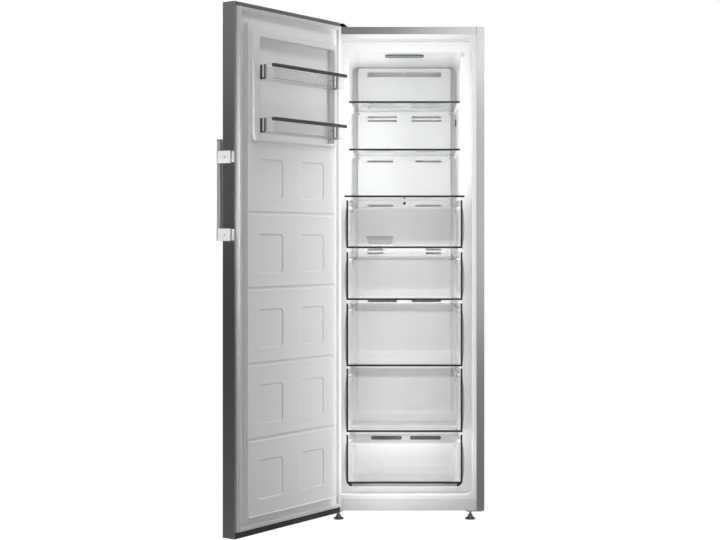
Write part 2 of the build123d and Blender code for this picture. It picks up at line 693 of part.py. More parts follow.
def compartment_cover():
    """Louvred sheet that closes the machine compartment at the back."""
    half, back = HALF - SHEET - BASE_SHEET - 1, CABINET_DEPTH - SHEET
    low, high = BASE_Z + COVER_CLEARANCE, MACHINE_TOP - COVER_CLEARANCE / 2
    middle = (low + high) / 2 + LOUVRE_RAISED
    cover = area(-half, half, low, high)
    for number in range(ceil(half / LOUVRE_PITCH)):
        x = -half + LOUVRE_MARGIN + number * LOUVRE_PITCH
        reach = LOUVRE_LENGTH / 2
        cover -= area(x - LOUVRE_WIDTH / 2, x + LOUVRE_WIDTH / 2, middle - reach, middle + reach)
    cover -= Pos(GLAND_X, GLAND_Z) * Circle(GLAND_RADIUS)
    return inward(cover, back - SHEET, back)


def cord_gland():
    """Flanged bush in the compartment cover where the mains cord leaves."""
    back = CABINET_DEPTH - SHEET
    gland = rod_y(GLAND_X, GLAND_Z, back - GLAND_DEPTH, back, GLAND_RADIUS)
    gland += rod_y(GLAND_X, GLAND_Z, back, back + GLAND_FLANGE, GLAND_RADIUS + GLAND_FLANGE)
    return gland - rod_y(GLAND_X, GLAND_Z, back - 2 * GLAND_DEPTH, back + GLAND_DEPTH, GLAND_BORE)


# ---------------------------------------------------------------- cold air parts
def vent_rows():
    """Height of each row of slots in the air cover, and where its slots start beside the middle."""
    lower, middle, upper = [top - VENT_BELOW_SHELF for top in SHELF_TOPS]
    drawer = DRAWER_BOTTOMS[-1] - VENT_ROW_PITCH / 2
    return (
        (upper, VENT_START_WIDE),
        (upper - VENT_ROW_PITCH, VENT_START_WIDE),
        (middle, VENT_START_MEDIUM),
        (lower, VENT_START_MEDIUM),
        (drawer, VENT_START_NARROW),
        (drawer - VENT_ROW_PITCH, VENT_START_NARROW),
        (DRAWER_BOTTOMS[-2] - VENT_BELOW_DRAWER, VENT_START_WIDE),
    )


def evaporator_cover():
    """Shallow white cover, open behind, that spreads cold air through its slots."""
    low, high = HUMP_TOP + COVER_END_GAP, CEILING_Z - COVER_END_GAP
    shell = inward(area(-COVER_HALF, COVER_HALF, low, high), COVER_Y, BACK_Y)
    inner = area(-COVER_HALF + COVER_WALL, COVER_HALF - COVER_WALL, low + COVER_WALL, high - COVER_WALL)
    shell -= inward(inner, COVER_Y + COVER_WALL, BACK_Y + BEYOND)
    rows = [(z, near, VENT_HEIGHT) for z, near in vent_rows()]
    rows.append((CEILING_Z - LONG_VENT_BELOW_TOP, LONG_VENT_MULLION / 2, LONG_VENT_HEIGHT))
    for z, near, height in rows:
        for side in (1, -1):
            x0, x1 = span(side, near, COVER_HALF - VENT_MARGIN)
            slot = area(x0, x1, z - height / 2, z + height / 2)
            shell -= inward(slot, COVER_Y - BEYOND, COVER_Y + BEYOND)
    return shell


def evaporator():
    """Finned block whose tube comes out in square return bends at both ends."""
    half = BAY_HALF - EVAPORATOR_SIDE_GAP
    front, back = COVER_Y + 2 * COVER_WALL, BACK_Y + BAY_DEPTH - COVER_WALL
    middle, bend = (front + back) / 2, EVAPORATOR_HEIGHT / COIL_ROWS / 2
    comb = area(-half, half, middle - COIL_RADIUS, middle + COIL_RADIUS)
    pitch = (2 * half - FIN_SHEET) / (FIN_COUNT - 1)
    for number in range(FIN_COUNT):
        x = -half + number * pitch
        comb += area(x, x + FIN_SHEET, front, back)
    coil = upward(comb, EVAPORATOR_Z, EVAPORATOR_Z + EVAPORATOR_HEIGHT)
    for number in range(COIL_ROWS - 1):
        side = 1 if number % 2 else -1
        z = EVAPORATOR_Z + 2 * bend * (number + 1)
        x0, x1 = span(side, half - COIL_RADIUS, half + bend)
        for level in (z - bend, z + bend):
            coil += rod_x(x0, x1, middle, level, COIL_RADIUS)
        coil += post(side * (half + bend - COIL_RADIUS), middle, z - bend, z + bend, COIL_RADIUS)
    return coil


def fan_motor():
    """Motor can on a three-armed spider against the back of the bay."""
    back = BACK_Y + BAY_DEPTH
    front = back - FAN_MOTOR_DEPTH
    motor = rod_y(0, FAN_Z, front, back, FAN_MOTOR_RADIUS)
    for turn in (90, 210, 330):
        arm = Pos(FAN_RADIUS / 2, 0) * Rectangle(FAN_RADIUS + FAN_ARM_WIDTH, FAN_ARM_WIDTH)
        motor += inward(Pos(0, FAN_Z) * Rot(0, 0, turn) * arm, back - FAN_ARM_SHEET, back)
    return motor - rod_y(0, FAN_Z, front - BEYOND, back - FAN_ARM_SHEET, FAN_SHAFT_RADIUS + PIN_CLEARANCE)


def fan_rotor():
    """Axial fan: hub, shaft and pitched blades."""
    back = BACK_Y + BAY_DEPTH - FAN_MOTOR_DEPTH - FAN_GAP
    front = back - FAN_DEPTH
    hub = rod_y(0, FAN_Z, front, back, FAN_HUB_RADIUS)
    hub = chamfer(hub.edges().group_by(Axis.Y)[0], FAN_GAP)
    hub += rod_y(0, FAN_Z, back - 1, back + FAN_SHAFT_LENGTH, FAN_SHAFT_RADIUS)
    start = FAN_HUB_RADIUS - FAN_GAP
    section = Rot(0, 0, BLADE_ANGLE) * Rectangle(FAN_DEPTH * 1.5, BLADE_SHEET)
    blade = extrude(Plane.YZ.offset(start) * section, amount=FAN_RADIUS - start)
    plane = Plane((0, (front + back) / 2, FAN_Z), x_dir=(1, 0, 0), z_dir=(0, -1, 0))
    for number in range(FAN_BLADES):
        hub += plane * Rot(0, 0, number * 360 / FAN_BLADES) * blade
    return hub


def temperature_sensor():
    """Round sensor head on the face of the air cover."""
    head = rod_y(0, SHELF_TOPS[0] - SENSOR_BELOW_SHELF, COVER_Y - SENSOR_HEIGHT, COVER_Y, SENSOR_RADIUS)
    return chamfer(head.edges().group_by(Axis.Y)[0], 1)


def control_panel():
    """Dark touch panel let into the ceiling."""
    back = CONTROL_SETBACK + CONTROL_WIDTH
    flat = area(-CONTROL_LENGTH / 2, CONTROL_LENGTH / 2, CONTROL_SETBACK, back, CONTROL_RADIUS)
    return upward(flat, CEILING_Z - CONTROL_THICKNESS, CEILING_Z)


def liner_plug():
    """Round plug over a fixing in the ledge, at its upper right corner."""
    x, z = CAVITY_HALF + PLUG_OUT, CEILING_Z - PLUG_DOWN
    return rod_y(x, z, POCKET_DEPTH - PLUG_HEIGHT, POCKET_DEPTH, PLUG_RADIUS)


def return_grilles():
    """Dark slotted inserts that fill the return air slots in the hump."""
    return return_slots(HUMP_Y, HUMP_Y + LINER)


# ---------------------------------------------------------------- shelves
def shelf_glass(number):
    top = SHELF_TOPS[number]
    front = (COVER_SHELF_FRONT if number == 0 else SHELF_FRONT) + SHELF_TRIM_LIP
    half = CAVITY_HALF - GLASS_SIDE_GAP
    return block(-half, half, front, SHELF_BACK, top - GLASS, top)


def shelf_trim(number):
    """Dark moulding pushed over the front edge of the glass."""
    top = SHELF_TOPS[number]
    if number == 0:
        half, front, depth = POCKET_HALF - COVER_SHELF_INSET, COVER_SHELF_FRONT, COVER_SHELF_TRIM_DEPTH
    else:
        half, front, depth = CAVITY_HALF - SHELF_TRIM_GAP, SHELF_FRONT, SHELF_TRIM_DEPTH
    high = top + SHELF_TRIM_OVER
    section = area(front, front + depth, high - SHELF_TRIM_HEIGHT, high, SHELF_TRIM_LIP / 2)
    return sideways(section, -half, half) - shelf_glass(number)


# ---------------------------------------------------------------- drawers
def drawer_back(number):
    return HUMP_Y - HUMP_GAP if number == 0 else COVER_Y - BIN_BACK_GAP


def bin_section(low, high, inset):
    """Front view of a bin: upright sides drawn in to a rounded bottom."""
    top, bottom = BIN_HALF - inset, BIN_HALF - BIN_DRAFT - inset
    flat = outline((-top, high), (top, high), (bottom, low), (-bottom, low))
    return fillet(flat.vertices().group_by(Axis.Y)[0], BIN_RADIUS - inset)


def drawer_bin(number):
    """Clear moulded drawer: front with a set-back grip band, bin, and a rim that runs on the runners."""
    low, high = DRAWER_BOTTOMS[number], DRAWER_BOTTOMS[number] + DRAWER_HEIGHTS[number]
    trim = BOTTOM_TRIM_HEIGHT if number == 0 else DRAWER_TRIM_BOTTOM
    seat = low + trim - DRAWER_TRIM_SEAT
    half = FRONT_HALF - DRAWER_TRIM_SIDE + DRAWER_TRIM_SEAT
    y, skin, band = DRAWER_FRONT, DRAWER_SKIN, high - GRIP_HEIGHT
    front = outline(
        (y, seat),
        (y, band),
        (y + GRIP_DEPTH, band),
        (y + GRIP_DEPTH, high),
        (y + GRIP_DEPTH + skin, high),
        (y + GRIP_DEPTH + skin, band - skin),
        (y + skin, band - skin),
        (y + skin, seat),
    )
    drawer = sideways(front, -half, half)
    rim, back = high - BIN_RIM_DOWN, drawer_back(number)
    floor = max(low + BIN_FLOOR, seat)
    start = y + GRIP_DEPTH
    drawer += inward(bin_section(floor, rim, 0), y + 1, back)
    edge = BIN_HALF + BIN_RIM
    drawer += block(-edge, edge, POCKET_DEPTH + RIM_START_GAP, back, rim - BIN_RIM_SHEET, rim)
    inside = inward(bin_section(floor + BIN_WALL, rim + BIN_DRAFT, BIN_WALL), y + skin, back - BIN_WALL)
    upper = block(-BIN_HALF, BIN_HALF, y - BEYOND, start, band, high + BEYOND)
    drawer -= inside - block(-HALF, HALF, y, start + skin, band - skin, high + BEYOND)
    return drawer - upper


def drawer_trim(number):
    """Dark frame round the sides and bottom of a drawer front, bowed outwards at the sides."""
    low, high = DRAWER_BOTTOMS[number], DRAWER_BOTTOMS[number] + DRAWER_HEIGHTS[number]
    bottom = BOTTOM_TRIM_HEIGHT if number == 0 else DRAWER_TRIM_BOTTOM
    half, bow = FRONT_HALF, FRONT_HALF + DRAWER_TRIM_BULGE
    toe = low + (bottom if number == 0 else DRAWER_TRIM_TOE)
    shoulder = high - DRAWER_TRIM_SHOULDER
    frame = area(-half, half, low, high)
    for side in (1, -1):
        belly = ThreePointArc((side * half, toe), (side * bow, (toe + shoulder) / 2), (side * half, shoulder))
        frame += make_face([belly, Line(belly @ 1, belly @ 0)])
    front, back = DRAWER_FRONT - DRAWER_TRIM_PROUD, DRAWER_FRONT - DRAWER_TRIM_PROUD + DRAWER_TRIM_DEPTH
    window = half - DRAWER_TRIM_SIDE
    trim = inward(frame, front, back)
    trim -= block(-window, window, front - BEYOND, back + BEYOND, low + bottom, high + BEYOND)
    seat = window + DRAWER_TRIM_SEAT
    floor = low + bottom - DRAWER_TRIM_SEAT
    trim -= block(-seat, seat, DRAWER_FRONT, back + BEYOND, floor, high + BEYOND)
    if number == 0:
        for side in (1, -1):
            slot = SlotOverall(BOTTOM_TRIM_SLOT, BOTTOM_TRIM_SLOT_HEIGHT)
            place = Pos(side * BOTTOM_TRIM_SLOT_SPREAD, low + BOTTOM_TRIM_SLOT_UP)
            trim -= inward(place * slot, front - BEYOND, DRAWER_FRONT - 1)
        corners = trim.edges().filter_by(Axis.Y).group_by(Axis.Z)[0]
        trim = chamfer(corners, BOTTOM_TRIM_CHAMFER)
    return trim


def ice_tray_place():
    """Middle of the ice cube tray, and the height of its underside."""
    x = -BIN_HALF + ICE_TRAY_SIDE + TRAY_WIDTH / 2 + BIN_DRAFT
    floor = DRAWER_BOTTOMS[-1] + BIN_FLOOR + BIN_WALL
    return x, ICE_TRAY_FRONT + TRAY_LENGTH / 2, floor + SEAT_GAP


def ice_tray():
    """Ice cube tray with two rows of tapered cells and a rim to lift it by."""
    x, y, low = ice_tray_place()
    high = low + ICE_TRAY_HEIGHT
    room_x, room_y = TRAY_WIDTH - 2 * ICE_TRAY_DRAFT, TRAY_LENGTH - 2 * ICE_TRAY_DRAFT
    foot = Plane.XY.offset(low) * Pos(x, y) * RectangleRounded(room_x, room_y, ICE_TRAY_FOOT_RADIUS)
    rim = Plane.XY.offset(high) * Pos(x, y) * RectangleRounded(TRAY_WIDTH, TRAY_LENGTH, ICE_TRAY_RADIUS)
    tray = loft([foot, rim])
    brim = Plane.XY.offset(high) * Pos(x, y) * Rectangle(room_x, room_y)
    tray -= extrude(brim, amount=-ICE_CELL_WEIR)
    pitch_x, pitch_y = room_x / ICE_CELLS_WIDE, room_y / ICE_CELLS_LONG
    mouth = Rectangle(pitch_x - ICE_CELL_WALL / 2, pitch_y - ICE_CELL_WALL / 2)
    for place in GridLocations(pitch_x, pitch_y, ICE_CELLS_WIDE, ICE_CELLS_LONG):
        cell = Plane.XY.offset(high - ICE_CELL_WEIR) * Pos(x, y) * place * mouth
        tray -= extrude(cell, amount=ICE_CELL_WEIR - ICE_CELL_DEPTH, taper=ICE_CELL_WALL * 2)
    return tray


# ---------------------------------------------------------------- door
def door_skin():
    """Steel sheet over the door's face and both edges, turned in round the inner panel."""
    half, outer, inner = DOOR_HALF, DOOR_OUTER_Y, DOOR_FACE_Y
    section = area(-half, half, outer, inner)
    section -= area(-half + DOOR_SHEET, half - DOOR_SHEET, outer + DOOR_SHEET, inner - DOOR_SHEET)
    section -= area(-half + DOOR_RETURN, half - DOOR_RETURN, inner - 2 * DOOR_SHEET, inner + BEYOND)
    skin = upward(section, DOOR_BOTTOM, DOOR_TOP)
    skin = fillet(skin.edges().filter_by(Axis.Z).group_by(Axis.Y)[0], 2 * DOOR_SHEET)
    inside = half - DOOR_SHEET
    for low, high in ((DOOR_BOTTOM, DOOR_BOTTOM + BOTTOM_CAP), (DOOR_TOP - TOP_CAP, DOOR_TOP)):
        skin -= block(-inside, inside, inner - 2 * DOOR_SHEET, inner + BEYOND, low, high)
    return skin


def door_end_caps():
    """Dark mouldings that close the skin at the top and the bottom, each bored for a hinge bush."""
    caps = []
    for low, high in ((DOOR_BOTTOM, DOOR_BOTTOM + BOTTOM_CAP), (DOOR_TOP - TOP_CAP, DOOR_TOP)):
        half = DOOR_HALF - DOOR_SHEET
        cap = block(-half, half, DOOR_OUTER_Y + 3 * DOOR_SHEET, DOOR_FACE_Y, low, high)
        cap -= post(PIN_X, PIN_Y, low - BEYOND, high + BEYOND, BUSH_RADIUS)
        caps.append(cap)
    return caps


def raised_panel(inset):
    """The part of the door's inner panel that enters the cabinet, or with inset its hidden side."""
    base, crest = DOOR_FACE_Y - DOOR_LINER, DOOR_FACE_Y + PANEL_RISE - inset
    field, floor = DOOR_FACE_Y + FIELD_RISE - inset, DOOR_FACE_Y + RECESS_FLOOR - inset
    half, low, high = PANEL_HALF - inset, PANEL_BOTTOM + inset, PANEL_TOP - inset
    panel = tapered(area(-half, half, low, high, PANEL_RADIUS - inset), base, field + RIM_RISE, PANEL_DRAFT)
    left, right = RECESS_X[0] - COLLAR_HINGE + inset, RECESS_X[1] + COLLAR_FREE - inset
    foot, head = RECESS_BOTTOM - COLLAR_BOTTOM, RECESS_TOP + COLLAR_TOP - inset
    edge = FIELD_HALF + inset
    panel -= tapered(area(-edge, edge, FIELD_BOTTOM - inset, foot), field, crest, -SUNK_DRAFT)
    collar = area(left, right, foot + inset, head, COLLAR_RADIUS - inset)
    panel += tapered(collar, field - 1, crest, COLLAR_DRAFT)
    edge -= GROOVE_DEPTH
    for z in groove_levels():
        reach = GROOVE_WIDTH / 2 + inset
        groove = area(-edge, edge, z - reach, z + reach)
        panel -= tapered(groove, field - GROOVE_DEPTH, field + 1, -SUNK_DRAFT)
    for x0, x1, z0, z1 in pad_areas():
        pad = area(x0 - inset, x1 + inset, z0 - inset, z1 + inset, 0 if inset else PAD_RADIUS)
        panel -= tapered(pad, field - PAD_DEPTH, field + 1, -SUNK_DRAFT)
    left, right = RECESS_X[0] - inset, RECESS_X[1] + inset
    recess = area(left, right, RECESS_BOTTOM - inset, RECESS_TOP + inset, RECESS_RADIUS + inset)
    panel -= inward(recess, floor, crest + BEYOND)
    for x0, x1, z0, z1 in rack_lugs(inset):
        panel += block(x0, x1, floor - 1, DOOR_FACE_Y + LUG_DEPTH - inset, z0, z1)
    return panel


def groove_levels():
    """Heights of the grooves that part the raised panel into even fields."""
    pitch = (RECESS_BOTTOM - FIELD_BOTTOM) / (GROOVE_COUNT + 1)
    return [RECESS_BOTTOM - pitch * (number + 1) for number in range(GROOVE_COUNT)]


def pad_areas():
    """The sunk square pads, two in each field."""
    pitch = (RECESS_BOTTOM - FIELD_BOTTOM) / (GROOVE_COUNT + 1)
    areas = []
    for number in range(GROOVE_COUNT + 1):
        z = RECESS_BOTTOM - pitch * (number + 0.5) - PAD_DOWN
        for x in (PAD_MIDDLE - PAD_SPREAD, PAD_MIDDLE + PAD_SPREAD):
            areas.append((x - PAD_SIZE / 2, x + PAD_SIZE / 2, z - PAD_SIZE / 2, z + PAD_SIZE / 2))
    return areas


def hook_level(number):
    """Underside of a rack's hooks."""
    return DOOR_TOP - RACK_TOPS_BELOW_DOOR_TOP[number] - HOOK_DOWN


def rack_lugs(inset):
    """The lugs on the recess's side walls that the racks hang on."""
    lugs = []
    for number in range(len(RACK_TOPS_BELOW_DOOR_TOP)):
        top = hook_level(number) - SEAT_GAP
        for wall, reach in ((RECESS_X[0], LUG_REACH), (RECESS_X[1], -LUG_REACH)):
            tip = wall + reach - (inset if reach > 0 else -inset)
            root = wall - (reach / 2)
            lugs.append((min(tip, root), max(tip, root), top - LUG_HEIGHT + inset, top - inset))
    return lugs


def door_liner():
    """White inner panel: flat border, rimmed field with grooves and pads, collar and rack recess."""
    half = DOOR_HALF - DOOR_RETURN
    border = area(-half, half, DOOR_BOTTOM + BOTTOM_CAP, DOOR_TOP - TOP_CAP)
    panel = inward(border, DOOR_FACE_Y - DOOR_LINER, DOOR_FACE_Y)
    return panel + raised_panel(0) - raised_panel(DOOR_LINER)


def door_foam():
    """Foam core of the door, reaching into the raised panel."""
    half = DOOR_HALF - DOOR_SHEET
    low, high = DOOR_BOTTOM + BOTTOM_CAP, DOOR_TOP - TOP_CAP
    core = block(-half, half, DOOR_OUTER_Y + 3 * DOOR_SHEET, DOOR_FACE_Y - DOOR_LINER, low, high)
    return core + raised_panel(DOOR_LINER) - door_liner()


def door_gasket():
    """Soft magnetic seal between the end caps, where it lands on the steel round the cabinet's mouth."""
    outer = area(-GASKET_HALF, GASKET_HALF, GASKET_BOTTOM, GASKET_TOP)
    half, low, high = GASKET_HALF - GASKET_WIDTH, GASKET_BOTTOM + GASKET_WIDTH, GASKET_TOP - GASKET_WIDTH
    seal = inward(outer - area(-half, half, low, high), DOOR_FACE_Y, DOOR_FACE_Y + GASKET_HEIGHT)
    return chamfer(seal.faces().sort_by(Axis.Y)[-1].edges(), GASKET_EDGE)


def door_bushes():
    """Flanged plastic bushes in the end caps that turn on the hinge pins."""
    bore = PIN_RADIUS + PIN_CLEARANCE
    lower = post(PIN_X, PIN_Y, DOOR_BOTTOM, DOOR_BOTTOM + BUSH_LENGTH + 2, BUSH_RADIUS)
    lower += post(PIN_X, PIN_Y, BASE_Z + SEAT_GAP, DOOR_BOTTOM, BUSH_FLANGE_RADIUS)
    lower -= post(PIN_X, PIN_Y, BASE_Z, DOOR_BOTTOM + BUSH_LENGTH, bore)
    upper = post(PIN_X, PIN_Y, DOOR_TOP - BUSH_LENGTH, DOOR_TOP, BUSH_RADIUS)
    upper += post(PIN_X, PIN_Y, DOOR_TOP, TOP_ARM_Z - SEAT_GAP, BUSH_FLANGE_RADIUS)
    upper -= post(PIN_X, PIN_Y, DOOR_TOP - BUSH_LENGTH - BEYOND, TOP_ARM_Z, bore)
    return [lower, upper]


# ---------------------------------------------------------------- door racks
def rack_levels(number):
    """Underside and top of a rack."""
    high = DOOR_TOP - RACK_TOPS_BELOW_DOOR_TOP[number]
    return high - RACK_HEIGHT, high


def rack_body(inset, low, high):
    """A rack's outside, or with inset its hollow: a part in the recess and a wider one before it."""
    back, front = DOOR_FACE_Y + RACK_BACK + inset, DOOR_FACE_Y + RACK_FRONT - inset
    cheek = DOOR_FACE_Y + RACK_CHEEK_START + inset
    x0, x1 = RACK_X[0] + inset, RACK_X[1] - inset
    rear = block(x0, x1, back, cheek + RACK_WALL, low, high)
    section = outline((cheek, high), (cheek, low), (front - RACK_DRAFT, low), (front, high))
    wide = sideways(section, x0 - RACK_CHEEK, x1 + RACK_CHEEK)
    corners = wide.faces().sort_by(Axis.Y)[-1].edges().filter_by(Axis.X, reverse=True)
    return rear + fillet(corners, RACK_CORNER - inset)


def rack_bin(number):
    """Clear trough with ribs across its floor and a hook at each end."""
    low, high = rack_levels(number)
    rack = rack_body(0, low, high) - rack_body(RACK_WALL, low + RACK_WALL, high + BEYOND)
    x0, x1 = RACK_X
    back, front = DOOR_FACE_Y + RACK_BACK + RACK_WALL, DOOR_FACE_Y + RACK_FRONT - RACK_DRAFT - RACK_WALL
    pitch = (x1 - x0) / (RACK_RIB_COUNT + 1)
    for rib in range(RACK_RIB_COUNT):
        x = x0 + pitch * (rib + 1)
        rack += block(x - RACK_RIB / 2, x + RACK_RIB / 2, back - 1, front, low + 1, low + 2 * RACK_WALL)
    y, z = DOOR_FACE_Y + HOOK_BACK, hook_level(number)
    for edge, reach in ((x0, -HOOK_REACH), (x1, HOOK_REACH)):
        left, right = min(edge, edge + reach), max(edge, edge + reach)
        rack += block(left, right, y, y + HOOK_WIDTH, z, z + HOOK_HEIGHT)
    return rack


def rack_rail(number):
    """Dark rail along the rack's front edge, and the U-shaped clips on its two ends."""
    low, high = rack_levels(number)
    x0, x1, front = RACK_X[0] - RACK_CHEEK, RACK_X[1] + RACK_CHEEK, DOOR_FACE_Y + RACK_FRONT
    plan = area(x0, x1, front - RACK_CORNER, front + RACK_RAIL, RACK_RAIL)
    rail = upward(plan, high - RACK_RAIL_HEIGHT, high + RACK_RAIL_OVER)
    rail -= rack_body(0, low, high) + rack_body(RACK_WALL, low, high + BEYOND)
    y0, y1 = DOOR_FACE_Y + RACK_CLIP_START, DOOR_FACE_Y + RACK_CLIP_END
    clip = area(y0, y1, low, high) - area(y0 + RACK_CLIP_BAR, y1 - RACK_CLIP_BAR, low + RACK_CLIP_BAR, high)
    left = sideways(clip, RACK_X[0] - RACK_CLIP_SHEET, RACK_X[0])
    right = sideways(clip, RACK_X[1], RACK_X[1] + RACK_CLIP_SHEET)
    return [rail, left, right]


# ---------------------------------------------------------------- handle
def handle_bar():
    """Straight square-edged bar in front of the door's free edge."""
    right = DOOR_HALF - HANDLE_INSET
    near = DOOR_OUTER_Y - HANDLE_STANDOFF
    flat = area(right - HANDLE_WIDTH, right, near - HANDLE_DEPTH, near, HANDLE_RADIUS)
    return upward(flat, HANDLE_BOTTOM, HANDLE_BOTTOM + HANDLE_LENGTH)


def bracket_levels():
    top = HANDLE_BOTTOM + HANDLE_LENGTH - UPPER_BRACKET_DOWN - BRACKET_HEIGHT
    return (HANDLE_BOTTOM, top)


def handle_brackets():
    """Arms from the door's edge out to the bar, tapered towards it."""
    edge, face = DOOR_HALF, DOOR_OUTER_Y
    bar_x, bar_y = edge - HANDLE_INSET, face - HANDLE_STANDOFF
    section = outline(
        (edge, face),
        (edge, face - PLATE_FORWARD),
        (bar_x + HANDLE_DEPTH / 2, bar_y - HANDLE_DEPTH / 2),
        (bar_x, bar_y - HANDLE_DEPTH / 2),
        (bar_x, bar_y - SEAT_GAP),
        (bar_x - HANDLE_WIDTH / 2, bar_y),
        (bar_x - HANDLE_WIDTH / 4, bar_y + HANDLE_DEPTH / 2),
        (edge - HANDLE_INSET / 2, face - PLATE_FORWARD + HANDLE_DEPTH / 4),
        (edge - HANDLE_INSET / 2, face),
    )
    return [upward(section, low, low + BRACKET_HEIGHT) - handle_bar() for low in bracket_levels()]


def handle_plates():
    """Bright plates over the arms' roots on the door's edge, and the clips behind them."""
    edge, face = DOOR_HALF, DOOR_OUTER_Y
    plates = []
    for low in bracket_levels():
        high = low + BRACKET_HEIGHT
        flat = area(edge, edge + PLATE_THICKNESS, face - PLATE_FORWARD, face + PLATE_BACK)
        plate = upward(flat, low, high)
        plate = fillet(plate.edges().filter_by(Axis.Z).group_by(Axis.X)[-1], PLATE_THICKNESS / 2)
        y, z = face + PLATE_BACK / 3, (low + high) / 2
        plate -= rod_x(edge + PLATE_THICKNESS / 2, edge + 2 * PLATE_THICKNESS, y, z, SET_SCREW_RADIUS)
        plates.append(plate)
        clip = area(edge, edge + PLATE_THICKNESS / 2, face + CLIP_START, face + CLIP_END)
        plates.append(upward(clip, low + CLIP_SHORTER, high - CLIP_SHORTER))
    return plates


# ---------------------------------------------------------------- hinges
def screw_places():
    """Plan positions of the hinge screws."""
    middle = Pos((BRACKET_X[0] + BRACKET_X[1]) / 2, BRACKET_DEPTH / 2 + SHEET)
    corners = [(middle * place).position for place in GridLocations(SCREW_PITCH_X, SCREW_PITCH_Y, 2, 2)]
    return [(corner.X, corner.Y) for corner in corners[1:]]


def bottom_hinge():
    """Plate under the body that reaches forward below the door and takes the left foot's stud."""
    x0, x1 = BRACKET_X
    plate = area(x0, x1, SHEET, BRACKET_DEPTH, 3)
    arm = area(PIN_X - ARM_RADIUS, PIN_X + ARM_RADIUS, PIN_Y, BRACKET_DEPTH / 2)
    arm += Pos(PIN_X, PIN_Y) * Circle(ARM_RADIUS)
    solid = upward(plate + arm, BASE_Z - BOTTOM_PLATE, BASE_Z)
    solid -= post(-FOOT_X, FOOT_SETBACK, 0, TOP_Z, STUD_RADIUS + STUD_CLEARANCE)
    solid -= post(PIN_X, PIN_Y, 0, TOP_Z, PIN_RADIUS)
    for x, y in screw_places():
        solid -= post(x, y, 0, TOP_Z, SCREW_RADIUS)
    return solid


def foot_plate():
    """Matching plate under the body's right front corner."""
    x0, x1 = -BRACKET_X[1], -BRACKET_X[0]
    solid = upward(area(x0, x1, SHEET, BRACKET_DEPTH, 3), BASE_Z - BOTTOM_PLATE, BASE_Z)
    solid -= post(FOOT_X, FOOT_SETBACK, 0, TOP_Z, STUD_RADIUS + STUD_CLEARANCE)
    for x, y in screw_places():
        solid -= post(-x, y, 0, TOP_Z, SCREW_RADIUS)
    return solid


def top_hinge():
    """Cranked plate on the body's top whose arm reaches out over the door."""
    x0, x1 = BRACKET_X
    rear = upward(area(x0, x1, SHEET, BRACKET_DEPTH, 3), TOP_Z, TOP_Z + TOP_PLATE)
    riser_top = TOP_ARM_Z + TOP_PLATE
    left, right = PIN_X - ARM_RADIUS, PIN_X + ARM_RADIUS
    riser = block(left, right, SHEET, SHEET + TOP_PLATE, TOP_Z, riser_top)
    arm = area(left, right, PIN_Y, SHEET + TOP_PLATE) + Pos(PIN_X, PIN_Y) * Circle(ARM_RADIUS)
    solid = rear + riser + upward(arm, TOP_ARM_Z, riser_top)
    solid -= post(PIN_X, PIN_Y, 0, 2 * TOP_Z, PIN_RADIUS)
    for x, y in screw_places():
        solid -= post(x, y, 0, 2 * TOP_Z, SCREW_RADIUS)
    return solid


def hinge_pins():
    """Pins riveted into the hinge plates, one pointing up and one down."""
    lower = post(PIN_X, PIN_Y, BASE_Z - BOTTOM_PLATE, BASE_Z + PIN_LENGTH, PIN_RADIUS)
    lower = chamfer(lower.edges().group_by(Axis.Z)[-1], 1)
    upper = post(PIN_X, PIN_Y, TOP_ARM_Z - PIN_LENGTH, TOP_ARM_Z + TOP_PLATE, PIN_RADIUS)
    upper = chamfer(upper.edges().group_by(Axis.Z)[0], 1)
    return [lower, upper]


def hinge_screws():
    """The screws of both hinges and the foot plate: six-sided head outside, shank through the plate."""
    hexagon = RegularPolygon(SCREW_HEAD_RADIUS, 6)
    screws = []
    for x, y in screw_places():
        low, high = BASE_Z - BOTTOM_PLATE, TOP_Z + TOP_PLATE
        for place in (x, -x):
            head = upward(Pos(place, y) * hexagon, low - SCREW_HEAD, low)
            screws.append(head + post(place, y, low, BASE_Z, SCREW_RADIUS))
        head = upward(Pos(x, y) * hexagon, high, high + SCREW_HEAD)
        screws.append(head + post(x, y, TOP_Z, high, SCREW_RADIUS))
    return screws


def hinge_cover():
    """Cap over the top hinge, slanted at its inner end and open to the front for the arm."""
    wall, back = HINGE_COVER_WALL, BRACKET_DEPTH + HINGE_COVER_GAP
    x0, x1 = -HALF + SHEET, BRACKET_X[1] + HINGE_COVER_GAP / 2
    low, high = TOP_Z, TOP_Z + HINGE_COVER_HEIGHT
    slant = HINGE_COVER_SLANT * (HINGE_COVER_HEIGHT - wall) / HINGE_COVER_HEIGHT
    outer = outline((x0, low), (x1 + HINGE_COVER_SLANT, low), (x1, high), (x0, high))
    left, right, under = x0 + wall, x1 - wall, low - BEYOND
    inner = outline((left, under), (right + slant, under), (right, high - wall), (left, high - wall))
    return inward(outer, 0, back) - inward(inner, -BEYOND, back - wall)


def hinge_hole_caps():
    """Plugs in the spare hinge holes on the right, for a door hung the other way."""
    return [post(-x, y, TOP_Z, TOP_Z + CAP_HEIGHT, CAP_RADIUS) for x, y in screw_places()]


